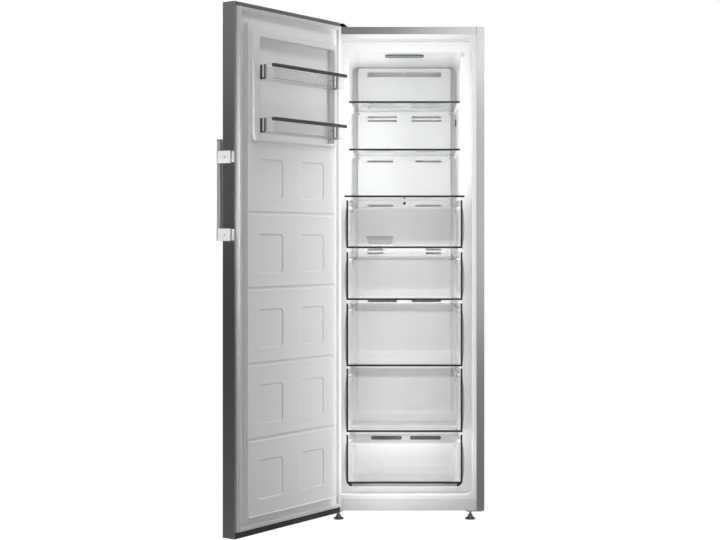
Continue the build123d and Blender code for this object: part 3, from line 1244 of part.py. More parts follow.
# ---------------------------------------------------------------- feet and rollers
def foot(side):
    """Levelling foot: low bell with a rolled rim, and a threaded stud up into the plate."""
    neck = FOOT_NECK_Z + FOOT_NECK_HEIGHT
    profile = outline(
        (0, 0),
        (FOOT_RADIUS - FOOT_RIM / 2, 0),
        (FOOT_RADIUS, FOOT_RIM / 2),
        (FOOT_RADIUS - FOOT_RIM / 3, FOOT_RIM),
        (FOOT_RADIUS - FOOT_RIM, FOOT_RIM * 1.4),
        (FOOT_NECK_RADIUS + FOOT_RIM / 2, FOOT_NECK_Z * 0.6),
        (FOOT_NECK_RADIUS, FOOT_NECK_Z),
        (FOOT_NECK_RADIUS, neck),
        (STUD_RADIUS, neck),
        (STUD_RADIUS, BASE_Z - 1),
        (0, BASE_Z - 1),
    )
    return Pos(side * FOOT_X, FOOT_SETBACK, 0) * revolve(Plane.XZ * profile, Axis.Z)


def roller(side):
    """Rear roller with a bevelled tread, running on its axle."""
    x0, x1 = span(side, ROLLER_X - ROLLER_WIDTH / 2, ROLLER_X + ROLLER_WIDTH / 2)
    wheel = rod_x(x0, x1, ROLLER_Y, ROLLER_RADIUS, ROLLER_RADIUS)
    wheel = chamfer(wheel.edges().filter_by(GeomType.CIRCLE), 2)
    bore = AXLE_RADIUS + ROLLER_BORE_CLEARANCE
    return wheel - rod_x(x0 - BEYOND, x1 + BEYOND, ROLLER_Y, ROLLER_RADIUS, bore)


# ---------------------------------------------------------------- all pieces
def main():
    os.makedirs("parts", exist_ok=True)
    cold_outside = cold_space(LINER, 0)
    save("outer_wrapper", outer_wrapper())
    save("inner_liner", inner_liner(cold_outside))
    save("insulation", insulation(cold_outside))
    save("front_rail", front_rail())
    save("base_pan", base_pan())
    save("rear_panel", rear_panel())
    save("compressor_base", compressor_base())
    save("compressor", compressor())
    save("compressor_mounts", *compressor_mounts())
    save("drip_tray", drip_tray())
    save("compartment_cover", compartment_cover())
    save("cord_gland", cord_gland())
    save("evaporator_cover", evaporator_cover())
    save("evaporator", evaporator())
    save("fan_motor", fan_motor())
    save("fan_rotor", fan_rotor())
    save("temperature_sensor", temperature_sensor())
    save("control_panel", control_panel())
    save("return_grilles", *return_grilles())
    for number, level in enumerate(("lower", "middle", "upper")):
        save(f"shelf_glass_{level}", shelf_glass(number))
        save(f"shelf_trim_{level}", shelf_trim(number))
    for number in range(len(DRAWER_HEIGHTS)):
        save(f"drawer_bin_{number + 1}", drawer_bin(number))
        save(f"drawer_trim_{number + 1}", drawer_trim(number))
    save("ice_tray", ice_tray())
    save("door_skin", at_rest(door_skin()))
    save("door_end_caps", *[at_rest(cap) for cap in door_end_caps()])
    save("door_foam", at_rest(door_foam()))
    save("door_liner", at_rest(door_liner()))
    save("door_gasket", at_rest(door_gasket()))
    save("door_bushes", *[at_rest(bush) for bush in door_bushes()])
    for number, level in enumerate(("upper", "lower")):
        save(f"door_rack_{level}", at_rest(rack_bin(number)))
        save(f"rack_rail_{level}", *[at_rest(piece) for piece in rack_rail(number)])
    save("handle_bar", at_rest(handle_bar()))
    save("handle_brackets", *[at_rest(arm) for arm in handle_brackets()])
    save("handle_plates", *[at_rest(plate) for plate in handle_plates()])
    save("bottom_hinge", bottom_hinge())
    save("top_hinge", top_hinge())
    save("hinge_pins", *hinge_pins())
    save("hinge_screws", *hinge_screws())
    save("hinge_cover", hinge_cover())
    save("blanking_caps", liner_plug(), *hinge_hole_caps())
    save("foot_plate", foot_plate())
    save("foot_left", foot(-1))
    save("foot_right", foot(1))
    save("roller_left", roller(-1))
    save("roller_right", roller(1))


if __name__ == "__main__":
    main()
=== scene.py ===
"""Looks of an upright freezer with its door open: finishes, seals, slats, screws and the studio around it."""

import json
import math

import bmesh
import bpy
from bpy.props import FloatProperty, FloatVectorProperty, IntProperty, PointerProperty
from mathutils import Matrix, Vector

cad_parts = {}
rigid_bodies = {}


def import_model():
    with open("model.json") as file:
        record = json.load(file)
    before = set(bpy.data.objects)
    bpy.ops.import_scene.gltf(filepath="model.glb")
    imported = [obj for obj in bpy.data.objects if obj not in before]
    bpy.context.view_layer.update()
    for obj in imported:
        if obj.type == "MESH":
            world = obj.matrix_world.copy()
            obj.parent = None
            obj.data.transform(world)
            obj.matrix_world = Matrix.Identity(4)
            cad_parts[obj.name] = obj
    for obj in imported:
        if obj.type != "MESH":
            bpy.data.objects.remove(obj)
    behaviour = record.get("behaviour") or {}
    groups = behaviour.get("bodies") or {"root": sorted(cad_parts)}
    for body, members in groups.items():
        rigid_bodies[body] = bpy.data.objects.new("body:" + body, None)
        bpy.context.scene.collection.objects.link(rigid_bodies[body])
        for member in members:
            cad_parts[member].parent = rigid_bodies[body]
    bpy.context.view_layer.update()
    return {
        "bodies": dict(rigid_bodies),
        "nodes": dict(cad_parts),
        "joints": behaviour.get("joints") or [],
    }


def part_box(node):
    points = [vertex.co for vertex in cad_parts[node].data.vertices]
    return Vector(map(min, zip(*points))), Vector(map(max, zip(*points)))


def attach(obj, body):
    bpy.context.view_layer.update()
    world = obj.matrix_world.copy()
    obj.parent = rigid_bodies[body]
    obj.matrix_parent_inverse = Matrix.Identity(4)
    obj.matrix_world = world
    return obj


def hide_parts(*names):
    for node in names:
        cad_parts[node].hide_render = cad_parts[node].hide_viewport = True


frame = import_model()

bl_info = {
    "name": "Upright Freezer",
    "version": (1, 0, 0),
    "blender": (4, 5, 0),
    "location": "View3D > Sidebar > Freezer",
    "description": "Finishes and fine pieces of an upright freezer with its door open",
    "category": "Add Mesh",
}

SWING = next(joint for joint in frame["joints"] if joint["name"] == "door_swing")
PIN = Vector(SWING["pos_m"])
OPEN_ANGLE = math.radians(SWING["range_deg"][1])
TURN = Matrix.Rotation(-OPEN_ANGLE, 4, "Z")
CLOSED_TO_OPEN = Matrix.Translation(PIN) @ TURN @ Matrix.Translation(-PIN)
OPEN_TO_CLOSED = CLOSED_TO_OPEN.inverted()
DRAWERS = [name for name in frame["bodies"] if name.startswith("drawer_")]
SHELVES = [name for name in frame["bodies"] if name.startswith("shelf_")]
RACKS = [name for name in frame["bodies"] if name.startswith("rack_")]


# ------------------------------------------------------------------ sizes and colours
class FreezerFinish(bpy.types.PropertyGroup):
    """Colours and finishes."""

    steel: FloatVectorProperty(
        name="Steel", description="Coated steel of the body and the door", subtype="COLOR", size=3,
        default=(0.40, 0.40, 0.40), min=0, max=1,
    )
    steel_roughness: FloatProperty(
        name="Steel Roughness", description="How much the coated steel blurs reflections", default=0.36,
        min=0, max=1,
    )
    liner: FloatVectorProperty(
        name="Liner", description="White plastic of the cavity and the door's inner panel", subtype="COLOR",
        size=3, default=(0.86, 0.865, 0.865), min=0, max=1,
    )
    dark: FloatVectorProperty(
        name="Dark Trim", description="Plastic of the frames, rails and end caps", subtype="COLOR", size=3,
        default=(0.012, 0.012, 0.013), min=0, max=1,
    )
    clear: FloatVectorProperty(
        name="Clear Plastic", description="Tint of the drawers and door racks", subtype="COLOR", size=3,
        default=(0.90, 0.905, 0.905), min=0, max=1,
    )
    drawer_cover: FloatProperty(
        name="Drawer Cover", description="How much each face of a drawer hides", default=0.15, min=0, max=1
    )
    rack_cover: FloatProperty(
        name="Rack Cover", description="How much each face of a door rack hides", default=0.06, min=0, max=1
    )
    seal: FloatVectorProperty(
        name="Seal", description="Soft rubber seal of the door", subtype="COLOR", size=3,
        default=(0.78, 0.785, 0.79), min=0, max=1,
    )


class FreezerDetail(bpy.types.PropertyGroup):
    """Sizes of the fine pieces."""

    slat_pitch: FloatProperty(
        name="Slat Pitch", description="Spacing of the bars in the return grilles", default=0.0062,
        min=0.002, unit="LENGTH",
    )
    slat_width: FloatProperty(
        name="Slat Width", description="Width of a bar in the return grilles", default=0.0022,
        min=0.0005, unit="LENGTH",
    )
    seal_folds: IntProperty(
        name="Seal Folds", description="Number of pleats in the seal's bellows", default=2, min=1, max=4
    )
    seal_ribs: IntProperty(name="Seal Ribs", description="Ribs on the seal's face", default=3, min=1, max=5)
    seal_width: FloatProperty(
        name="Seal Width", description="Across the seal, in the plane of the door", default=0.018,
        min=0.005, unit="LENGTH",
    )
    screw_head: FloatProperty(
        name="Screw Head", description="Radius of the sheet metal screws", default=0.0042,
        min=0.001, unit="LENGTH",
    )
    panel_screws: IntProperty(
        name="Panel Screws", description="Screws down each side of the back", default=6, min=2, max=20
    )


class FreezerStudio(bpy.types.PropertyGroup):
    """Camera and lights."""

    distance: FloatProperty(
        name="Camera Distance", description="From the lens to the plane of the cabinet's front", default=5.35,
        min=1, unit="LENGTH",
    )
    height: FloatProperty(
        name="Camera Height", description="Lens over the floor", default=1.0355, min=0, unit="LENGTH"
    )
    focal_pixels: FloatProperty(
        name="Focal Length", description="In pixels of the 720 pixel wide picture", default=1437.4, min=100
    )
    axis_x: FloatProperty(
        name="Axis X", description="Pixel column that the lens looks straight at", default=404.4
    )
    axis_y: FloatProperty(
        name="Axis Y", description="Pixel row that the lens looks straight at", default=242.5
    )
    sky: FloatProperty(name="Room Light", description="Light from all round", default=0.02, min=0)
    sky_front: FloatProperty(name="Room Front", description="More light from the front", default=0.12, min=0)
    sky_top: FloatProperty(name="Room Top", description="More light from above", default=0.1, min=0)
    front: FloatProperty(
        name="Front Light", description="Large card by the camera", default=26.5,
        min=0, unit="POWER",
    )
    top: FloatProperty(name="Top Light", description="Card high up in front", default=4, min=0, unit="POWER")
    mouth: FloatProperty(
        name="Mouth Light", description="Card just before the opening", default=2.7,
        min=0, unit="POWER",
    )
    below: FloatProperty(
        name="Sill Light", description="Small card over the sill", default=0.35,
        min=0, unit="POWER",
    )
    shelf_space: FloatProperty(
        name="Shelf Light", description="Card that faces the back over the drawers", default=0.85,
        min=0, unit="POWER",
    )
    shelf_left: FloatProperty(
        name="Left Wall Light", description="Card that faces the left wall over the drawers", default=0.85,
        min=0, unit="POWER",
    )
    shelf_right: FloatProperty(
        name="Right Wall Light", description="Card that faces the right wall over the drawers", default=0.3,
        min=0, unit="POWER",
    )
    drawer_space: FloatProperty(
        name="Drawer Light", description="Card that faces the drawers", default=2.2,
        min=0, unit="POWER",
    )
    top_drawer: FloatProperty(
        name="Top Drawer Light", description="Card that faces the top drawer", default=0.3,
        min=0, unit="POWER",
    )
    panel: FloatProperty(
        name="Panel Light", description="Strip near the door's hinge", default=2.4,
        min=0, unit="POWER",
    )
    panel_top: FloatProperty(
        name="Panel Top Light", description="Card high over the door's panel", default=36,
        min=0, unit="POWER",
    )
    handle: FloatProperty(
        name="Handle Light", description="Card that faces the handle", default=3.0,
        min=0, unit="POWER",
    )
    back_left: FloatProperty(
        name="Left Back Light", description="Card behind, to the left", default=80,
        min=0, unit="POWER",
    )
    back_right: FloatProperty(
        name="Right Back Light", description="Card behind, to the right", default=60,
        min=0, unit="POWER",
    )
    left_gloss: FloatProperty(
        name="Left Gloss", description="Card seen in the body's left side", default=7,
        min=0, unit="POWER",
    )
    right_gloss: FloatProperty(
        name="Right Gloss", description="Card seen in the body's right side", default=12,
        min=0, unit="POWER",
    )
    edge_gloss: FloatProperty(
        name="Edge Gloss", description="Card seen in the door's edge", default=1.3,
        min=0, unit="POWER",
    )
    top_gloss: FloatProperty(
        name="Top Gloss", description="Card seen in the steel's upper corner", default=0.85,
        min=0, unit="POWER",
    )
    side_gloss: FloatProperty(
        name="Side Gloss", description="Card seen in the steel's right edge", default=2.6,
        min=0, unit="POWER",
    )
    front_gloss: FloatProperty(
        name="Front Gloss", description="Card seen in upright faces", default=12,
        min=0, unit="POWER",
    )
    foot_gloss: FloatProperty(
        name="Foot Gloss", description="Card seen in the feet", default=0.6,
        min=0, unit="POWER",
    )


# place, target, size, and whether it lights matt surfaces and shows in glossy ones
LIGHTS = {
    "front": ((0.0, -4.2, 1.5), (0.0, 0.2, 1.0), (2.6, 2.6), True, False),
    "top": ((1.0, -2.4, 3.8), (-0.2, 0.0, 0.9), (1.8, 1.0), True, False),
    "mouth": ((-0.01, -0.12, 0.96), (-0.01, 1.0, 0.96), (0.46, 1.72), True, False),
    "below": ((0.0, -0.03, 0.32), (0.0, 0.05, 0.10), (0.42, 0.08), True, False),
    "shelf_space": ((0.0, 0.06, 1.42), (0.0, 1.0, 1.42), (0.42, 0.52), True, False),
    "shelf_left": ((0.0, 0.25, 1.41), (-1.0, 0.36, 1.41), (0.20, 0.40), True, False),
    "shelf_right": ((0.0, 0.25, 1.41), (1.0, 0.36, 1.41), (0.20, 0.40), True, False),
    "drawer_space": ((0.0, 0.065, 0.66), (0.0, 1.0, 0.66), (0.36, 1.02), True, False),
    "top_drawer": ((0.0, 0.075, 1.03), (0.0, 1.0, 0.98), (0.36, 0.16), True, False),
    "panel": ((0.12, -0.20, 0.97), (-0.5, -0.45, 0.97), (0.06, 1.75), True, False),
    "panel_top": ((1.1, -0.9, 4.2), (-0.45, -0.3, 0.95), (0.7, 0.7), True, False),
    "handle": ((-0.95, -1.0, 1.21), (-0.64, -0.56, 1.21), (0.1, 0.35), True, False),
    "back_left": ((-3.4, 2.8, 2.2), (-0.3, 0.3, 0.9), (2.4, 2.4), True, True),
    "back_right": ((3.0, 3.4, 2.2), (0.2, 0.5, 0.9), (2.4, 2.4), True, True),
    "left_gloss": ((-4.0, 1.6, 1.6), (-0.3, 0.3, 0.9), (3.0, 3.0), False, True),
    "right_gloss": ((4.0, -1.2, 1.6), (0.3, 0.3, 0.9), (3.0, 3.0), False, True),
    "edge_gloss": ((-1.5, -1.0, 2.1), (-0.5, -0.4, 1.4), (0.6, 1.2), False, True),
    "top_gloss": ((0.25, -0.9, 1.9), (0.2, 0.0, 1.84), (0.4, 0.3), False, True),
    "side_gloss": ((0.50, -0.9, 1.40), (0.29, 0.0, 1.20), (0.25, 1.5), False, True),
    "front_gloss": ((0.0, -4.5, 1.2), (0.0, 0.2, 1.0), (2.0, 2.0), False, True),
    "foot_gloss": ((-0.3, -0.8, 0.14), (0.0, 0.0, 0.03), (0.5, 0.2), False, True),
}

# the picture, in pixels, and the camera's sensor in millimetres
PICTURE_WIDTH, PICTURE_HEIGHT = 720, 540
SENSOR_WIDTH = 36.0
FLOOR_REACH = 30.0

# seams in the body's front: how far in from the sides they run, how far below the top they start
SIDE_FLANGE = 0.029
TOP_FLANGE = 0.027
SEAM_HALF_WIDTH = 0.0009
SEAM_DEPTH = 0.002

# rounding that the materials show on edges, and how sharply the painted edge shade begins
STEEL_EDGE = 0.0012
FINE_EDGE = 0.0008
EDGE_GAIN = 5.0

# drawers: grip band and wall, share that a clear face and the band hide, frame and pale toe
GRIP_HEIGHT = 0.030
GRIP_DEPTH = 0.012
DRAWER_SKIN = 0.003
CLEAR_COVER = 0.012
BAND_COVER = 0.012
TOP_DRAWER_SHARE = 0.75
FRAME_HALF = 0.217
TOE_HEIGHT = 0.010
TOE_END = 0.021

# screw heads: sides, top to bottom radius, height to radius, and each arm of the crossed recess
HEAD_SIDES = 20
HEAD_TAPER = 0.8
HEAD_HEIGHT = 0.45
RECESS_ARM = (0.0038, 0.0009, 0.004)

# clips of the air cover, and the slot in the wall beside it, drawn as a near-black block of painted shade
CLIP_LEVELS = (1.380, 1.562)
CLIP_INSET = 0.004
CLIP_SUNK = 0.0004
CLIP_RADIUS = 0.003
COVER_INSET = 0.022
SLOT_OFF_WALL = 0.0017
SLOT_BACK = 0.535
SLOT_LEVEL = 1.524
SLOT_SIZE = (0.0044, 0.014, 0.028)

# bars of the return grilles, coloured near-black brown as painted shade of the inlets
GRILLE_LENGTH = 0.124
BAR_PROUD = 0.0002
BAR_DEPTH = 0.0014
BAR_SHORT = 0.003

# pins in the drawer fronts, set screws of the handle and screws of the back
PIN_SPREAD = 0.191
PIN_DOWN = 0.041
PIN_RADIUS = 0.0028
SET_SCREW_IN = 0.002
SET_SCREW_BACK = 0.0322
SET_SCREW_UP = 0.021
SET_SCREW_RADIUS = 0.0024
BACK_SCREW_IN = 0.007
BACK_SCREW_END = 0.03
BACK_SCREW_SUNK = 0.001

# section of the seal: foot, pleats between it and the head, ribs on the head
SEAL_FOOT = 0.0022
SEAL_FOOT_IN = 0.001
SEAL_HEAD = 0.0053
SEAL_RIDGE_IN = 0.0030
SEAL_VALLEY_IN = 0.0055
SEAL_SHOULDER_DOWN = 0.003
SEAL_SHOULDER_IN = 0.0025
SEAL_SHOULDER_OUT = 0.0022
SEAL_RIB = 0.0016


def finish_of(context):
    return context.scene.freezer_finish


def detail_of(context):
    return context.scene.freezer_detail


# ------------------------------------------------------------------ shader maths
class Wire:
    """An output socket. Arithmetic on it adds Math nodes to its material."""

    def __init__(self, paint, socket):
        self.paint = paint
        self.socket = socket

    def math(self, operation, *others, clamp=False):
        settings = {"operation": operation, "use_clamp": clamp}
        return self.paint.node("ShaderNodeMath", settings, dict(enumerate((self, *others))))

    def __add__(self, other):
        return self.math("ADD", other)

    def __sub__(self, other):
        return self.math("SUBTRACT", other)

    def __rsub__(self, other):
        return self.paint.node("ShaderNodeMath", {"operation": "SUBTRACT"}, {0: other, 1: self})

    def __mul__(self, other):
        return self.math("MULTIPLY", other)

    def __truediv__(self, other):
        return self.math("DIVIDE", other)

    def above(self, edge):
        """1 where the value is over the edge, 0 elsewhere."""
        return self.math("GREATER_THAN", edge)

    def held(self, low, high):
        """Brings the span from low to high onto 0 to 1 and holds it there."""
        return ((self - low) / (high - low)).math("ADD", 0, clamp=True)


class Paint:
    """A material under construction, with its Principled shader."""

    def __init__(self, name, tree=None):
        if tree is None:
            self.material = bpy.data.materials.new(name)
            self.material.use_nodes = True
            tree = self.material.node_tree
            self.shader = tree.nodes["Principled BSDF"]
        self.tree = tree

    def node(self, kind, settings=None, inputs=None, output=0):
        made = self.tree.nodes.new(kind)
        for key, value in (settings or {}).items():
            setattr(made, key, value)
        for key, value in (inputs or {}).items():
            self.plug(made.inputs[key], value)
        return Wire(self, made.outputs[output])

    def plug(self, socket, value):
        if isinstance(value, Wire):
            self.tree.links.new(value.socket, socket)
        elif socket.type == "RGBA" and len(value) == 3:
            socket.default_value = (*value, 1)
        else:
            socket.default_value = value

    def place(self, stretch=(1, 1, 1)):
        """Object coordinates, stretched."""
        coordinates = self.node("ShaderNodeTexCoord", output="Object")
        return self.node("ShaderNodeMapping", None, {"Vector": coordinates, "Scale": stretch})

    def noise(self, scale, where=None, detail=3.0, roughness=0.55):
        """Noise from 0 to 1, in object coordinates if no place is given."""
        inputs = {"Vector": where or self.place(), "Scale": scale, "Detail": detail, "Roughness": roughness}
        return self.node("ShaderNodeTexNoise", None, inputs)

    def blend(self, share, first, second):
        """The first colour where share is 0, the second where it is 1."""
        settings = {"data_type": "RGBA"}
        return self.node("ShaderNodeMix", settings, {0: share, 6: first, 7: second}, output=2)

    def bump(self, height, distance, strength, normal=None):
        inputs = {"Height": height, "Distance": distance, "Strength": strength}
        if normal is not None:
            inputs["Normal"] = normal
        return self.node("ShaderNodeBump", None, inputs)

    def soft_edges(self, radius):
        return self.node("ShaderNodeBevel", {"samples": 4}, {"Radius": radius})

    def parts(self, vector):
        """The x, y and z of a vector."""
        split = self.node("ShaderNodeSeparateXYZ", None, {0: vector})
        return [Wire(self, output) for output in split.socket.node.outputs]

    def facing(self):
        """The three parts of the surface's own direction."""
        return self.parts(self.node("ShaderNodeNewGeometry", output="Normal"))

    def edges(self, radius):
        """1 along the piece's edges, 0 on its flats."""
        flat = self.node("ShaderNodeNewGeometry", output="Normal")
        inputs = {0: self.soft_edges(radius), 1: flat}
        match = self.node("ShaderNodeVectorMath", {"operation": "DOT_PRODUCT"}, inputs, output="Value")
        return ((1 - match) * EDGE_GAIN).math("ADD", 0, clamp=True)

    def set(self, **inputs):
        """Sets the Principled shader's inputs by name and gives back the material."""
        for key, value in inputs.items():
            self.plug(self.shader.inputs[key.replace("_", " ").title().replace("Ior", "IOR")], value)
        return self.material


def shaded(colour, factor):
    """A colour made darker or lighter."""
    return tuple(min(1.0, channel * factor) for channel in colour)


# ------------------------------------------------------------------ materials
def coated_steel(name, colour, roughness, seam=None):
    """Coated sheet with a fine upright grain. A seam, as its x and lower end, runs up each front corner."""
    paint = Paint(name)
    grain = paint.noise(1.0, paint.place((900, 900, 5)), detail=4)
    cloud = paint.noise(1.6, detail=2)
    tone = grain * 0.6 + cloud * 0.4
    base = paint.blend(tone, shaded(colour, 0.9), shaded(colour, 1.1))
    if seam is not None:
        across, level = seam
        beside, behind, height = paint.parts(paint.place())
        line = 1 - (beside.math("ABSOLUTE") - across).math("ABSOLUTE").above(SEAM_HALF_WIDTH)
        line = line * height.above(level) * (1 - behind.above(SEAM_DEPTH))
        base = paint.blend(line * 0.75, base, (0.02, 0.02, 0.02))
    normal = paint.bump(grain, 0.00006, 0.35, paint.soft_edges(STEEL_EDGE))
    rough = (grain - 0.5) * 0.16 + roughness
    return paint.set(base_color=base, roughness=rough, metallic=0.94, normal=normal)


def zinc_sheet(name, colour, roughness):
    """Galvanised sheet with its spangle of crystals."""
    paint = Paint(name)
    inputs = {"Vector": paint.place(), "Scale": 95.0}
    cells = paint.node("ShaderNodeTexVoronoi", None, inputs, output="Color")
    tone = paint.node("ShaderNodeSeparateColor", None, {0: cells})
    haze = paint.noise(22.0)
    mixed = tone * 0.55 + haze * 0.45
    base = paint.blend(mixed, shaded(colour, 0.8), shaded(colour, 1.15))
    normal = paint.bump(tone, 0.00004, 0.3, paint.soft_edges(FINE_EDGE))
    rough = mixed * 0.2 + roughness - 0.1
    return paint.set(base_color=base, roughness=rough, metallic=0.9, normal=normal)


def formed_plastic(name, colour, roughness, edge):
    """Thermoformed sheet: soft corners, faint orange peel and a slight unevenness of shade."""
    paint = Paint(name)
    peel = paint.noise(260.0, detail=2)
    cloud = paint.noise(2.4, detail=3)
    smudge = paint.noise(14.0, detail=4)
    base = paint.blend(cloud, shaded(colour, 0.965), shaded(colour, 1.02))
    normal = paint.bump(peel, 0.00006, 0.5, paint.soft_edges(edge))
    rough = (smudge - 0.5) * 0.14 + roughness
    return paint.set(base_color=base, roughness=rough, normal=normal)


def grained_plastic(name, colour, roughness, grain_scale=900.0, sides=None, toe=None):
    """Injection moulding with a fine spark-eroded grain.

    Sides, as half a width and a colour, tint what is further out. A toe, as a level, half a width and a
    colour, tints what is lower than that level and within that width.
    """
    paint = Paint(name)
    grain = paint.noise(grain_scale, detail=3, roughness=0.7)
    wear = paint.noise(35.0, detail=4)
    base = paint.blend(wear, shaded(colour, 0.85), shaded(colour, 1.2))
    beside, _, height = paint.parts(paint.place()) if sides or toe else (None, None, None)
    if sides:
        half, pale = sides
        base = paint.blend(beside.math("ABSOLUTE").held(half - 0.001, half + 0.004), base, pale)
    if toe:
        level, reach, pale = toe
        low = (1 - height.held(level - 0.0005, level + 0.0005)) * (1 - beside.math("ABSOLUTE").above(reach))
        base = paint.blend(low, base, pale)
    normal = paint.bump(grain, 0.00008, 0.5, paint.soft_edges(FINE_EDGE))
    rough = (grain - 0.5) * 0.2 + (wear - 0.5) * 0.1 + roughness
    return paint.set(base_color=base, roughness=rough, normal=normal)


def clear_plastic(name, colour, cover, front=None, line=0.0014, edge_shade=0.5):
    """Clear styrene with painted shade along its edges, as wide as line and as dense as edge_shade.

    A front, as how deep it reaches and where its grip band starts, is frosted below the band.
    """
    paint = Paint(name)
    flow = paint.noise(9.0, paint.place((1, 1, 0.35)), detail=2)
    rim = paint.node("ShaderNodeLayerWeight", None, {"Blend": 0.32}, output="Facing")
    edge = paint.edges(line)
    base = paint.blend(flow, shaded(colour, 0.95), shaded(colour, 1.05))
    # painted shade: the clear sheet's edges are darkened towards near-black, and below edge_shade makes them
    # more opaque as well
    base = paint.blend(edge * 0.85, base, (0.12, 0.122, 0.125))
    frost = cover
    if front is not None:
        depth, band = front
        behind, height = paint.parts(paint.place())[1:]
        ahead = 1 - behind.above(depth)
        banded = height.held(band - 0.001, band + 0.001)
        frost = ahead * (1 - banded) * (cover - CLEAR_COVER) + ahead * banded * BAND_COVER + CLEAR_COVER
    alpha = (flow - 0.5) * 0.06 + rim * 0.2 + edge * edge_shade + frost
    normal = paint.bump(paint.noise(30.0, detail=1), 0.00006, 0.1)
    rough = (flow - 0.5) * 0.08 + 0.14
    paint.set(specular_ior_level=0.6, coat_weight=0.4, coat_roughness=0.04)
    return paint.set(base_color=base, roughness=rough, alpha=alpha, normal=normal)


def shelf_glass(name):
    """Toughened glass: a mirror at a shallow look, else almost invisible, pale green on its ground edges."""
    paint = Paint(name)
    edge = 1 - paint.facing()[2].math("ABSOLUTE").above(0.5)
    smear = paint.noise(7.0, detail=2)
    mirror = paint.node("ShaderNodeFresnel", None, {"IOR": 1.5})
    base = paint.blend(edge, (0.96, 0.975, 0.97), (0.40, 0.47, 0.45))
    alpha = (1 - edge) * (mirror * 0.6 + smear * 0.01) + edge * 0.4
    rough = smear * 0.01 + edge * 0.3 + 0.02
    return paint.set(base_color=base, roughness=rough, metallic=1 - edge, alpha=alpha)


def rubber(name, colour):
    """Soft rubber with a bloom on its surface, and painted shade along its edges and creases."""
    paint = Paint(name)
    bloom = paint.noise(48.0, detail=5)
    base = paint.blend(bloom, shaded(colour, 0.93), shaded(colour, 1.07))
    # painted shade: the edges and the creases between pleats and ribs are darkened to 0.3 of the colour
    base = paint.blend(paint.edges(0.0012) * 0.6, base, shaded(colour, 0.3))
    normal = paint.bump(paint.noise(1400.0), 0.00004, 0.4)
    return paint.set(base_color=base, roughness=(bloom - 0.5) * 0.2 + 0.55, normal=normal)


def bright_metal(name, colour, roughness, stretch=(700, 700, 700), metallic=1.0):
    """Plated or brushed metal with its machining marks."""
    paint = Paint(name)
    marks = paint.noise(1.0, paint.place(stretch), detail=4)
    stain = paint.noise(60.0, detail=3)
    base = paint.blend(marks * 0.5 + stain * 0.5, shaded(colour, 0.85), shaded(colour, 1.12))
    normal = paint.bump(marks, 0.00004, 0.4, paint.soft_edges(0.0006))
    rough = (marks - 0.5) * 0.2 + (stain - 0.5) * 0.12 + roughness
    return paint.set(base_color=base, roughness=rough, metallic=metallic, normal=normal)


def foam(name):
    """Rigid foam with open cells where it was cut."""
    paint = Paint(name)
    inputs = {"Vector": paint.place(), "Scale": 700.0}
    cells = paint.node("ShaderNodeTexVoronoi", None, inputs, output="Distance")
    tone = paint.noise(6.0)
    base = paint.blend(tone, (0.62, 0.50, 0.24), (0.74, 0.63, 0.36))
    return paint.set(base_color=base, roughness=cells * 0.2 + 0.8, normal=paint.bump(cells, 0.0008, 0.6))


def dress(material, *nodes):
    """Gives whole carried-over pieces their finish."""
    for node in nodes:
        for slot in frame["nodes"][node].material_slots:
            slot.material = material


# ------------------------------------------------------------------ meshes
def mesh_piece(name, build, material, body):
    """Makes one flat-shaded mesh with a bmesh function and sets it riding on a body."""
    mesh = bpy.data.meshes.new(name)
    work = bmesh.new()
    build(work)
    bmesh.ops.recalc_face_normals(work, faces=work.faces)
    work.to_mesh(mesh)
    work.free()
    mesh.materials.append(material)
    piece = bpy.data.objects.new(name, mesh)
    bpy.context.scene.collection.objects.link(piece)
    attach(piece, body)
    return piece


def closed_corners(node):
    """Lowest and highest corner of a piece on the door, as if the door were closed."""
    points = [OPEN_TO_CLOSED @ vertex.co for vertex in frame["nodes"][node].data.vertices]
    low = Vector(min(point[axis] for point in points) for axis in range(3))
    high = Vector(max(point[axis] for point in points) for axis in range(3))
    return low, high


def ring_sweep(work, outline, low, high, turned):
    """Carries an outline of (inwards, forwards) points round an upright rectangle with mitred corners."""
    rings = []
    for x_side, z_side in ((0, 0), (1, 0), (1, 1), (0, 1)):
        ring = []
        for inwards, forwards in outline:
            x = high.x - inwards if x_side else low.x + inwards
            z = high.z - inwards if z_side else low.z + inwards
            ring.append(work.verts.new(turned @ Vector((x, low.y + forwards, z))))
        rings.append(ring)
    for number, ring in enumerate(rings):
        following = rings[(number + 1) % len(rings)]
        for index in range(len(outline)):
            after = (index + 1) % len(outline)
            work.faces.new((ring[index], ring[after], following[after], following[index]))


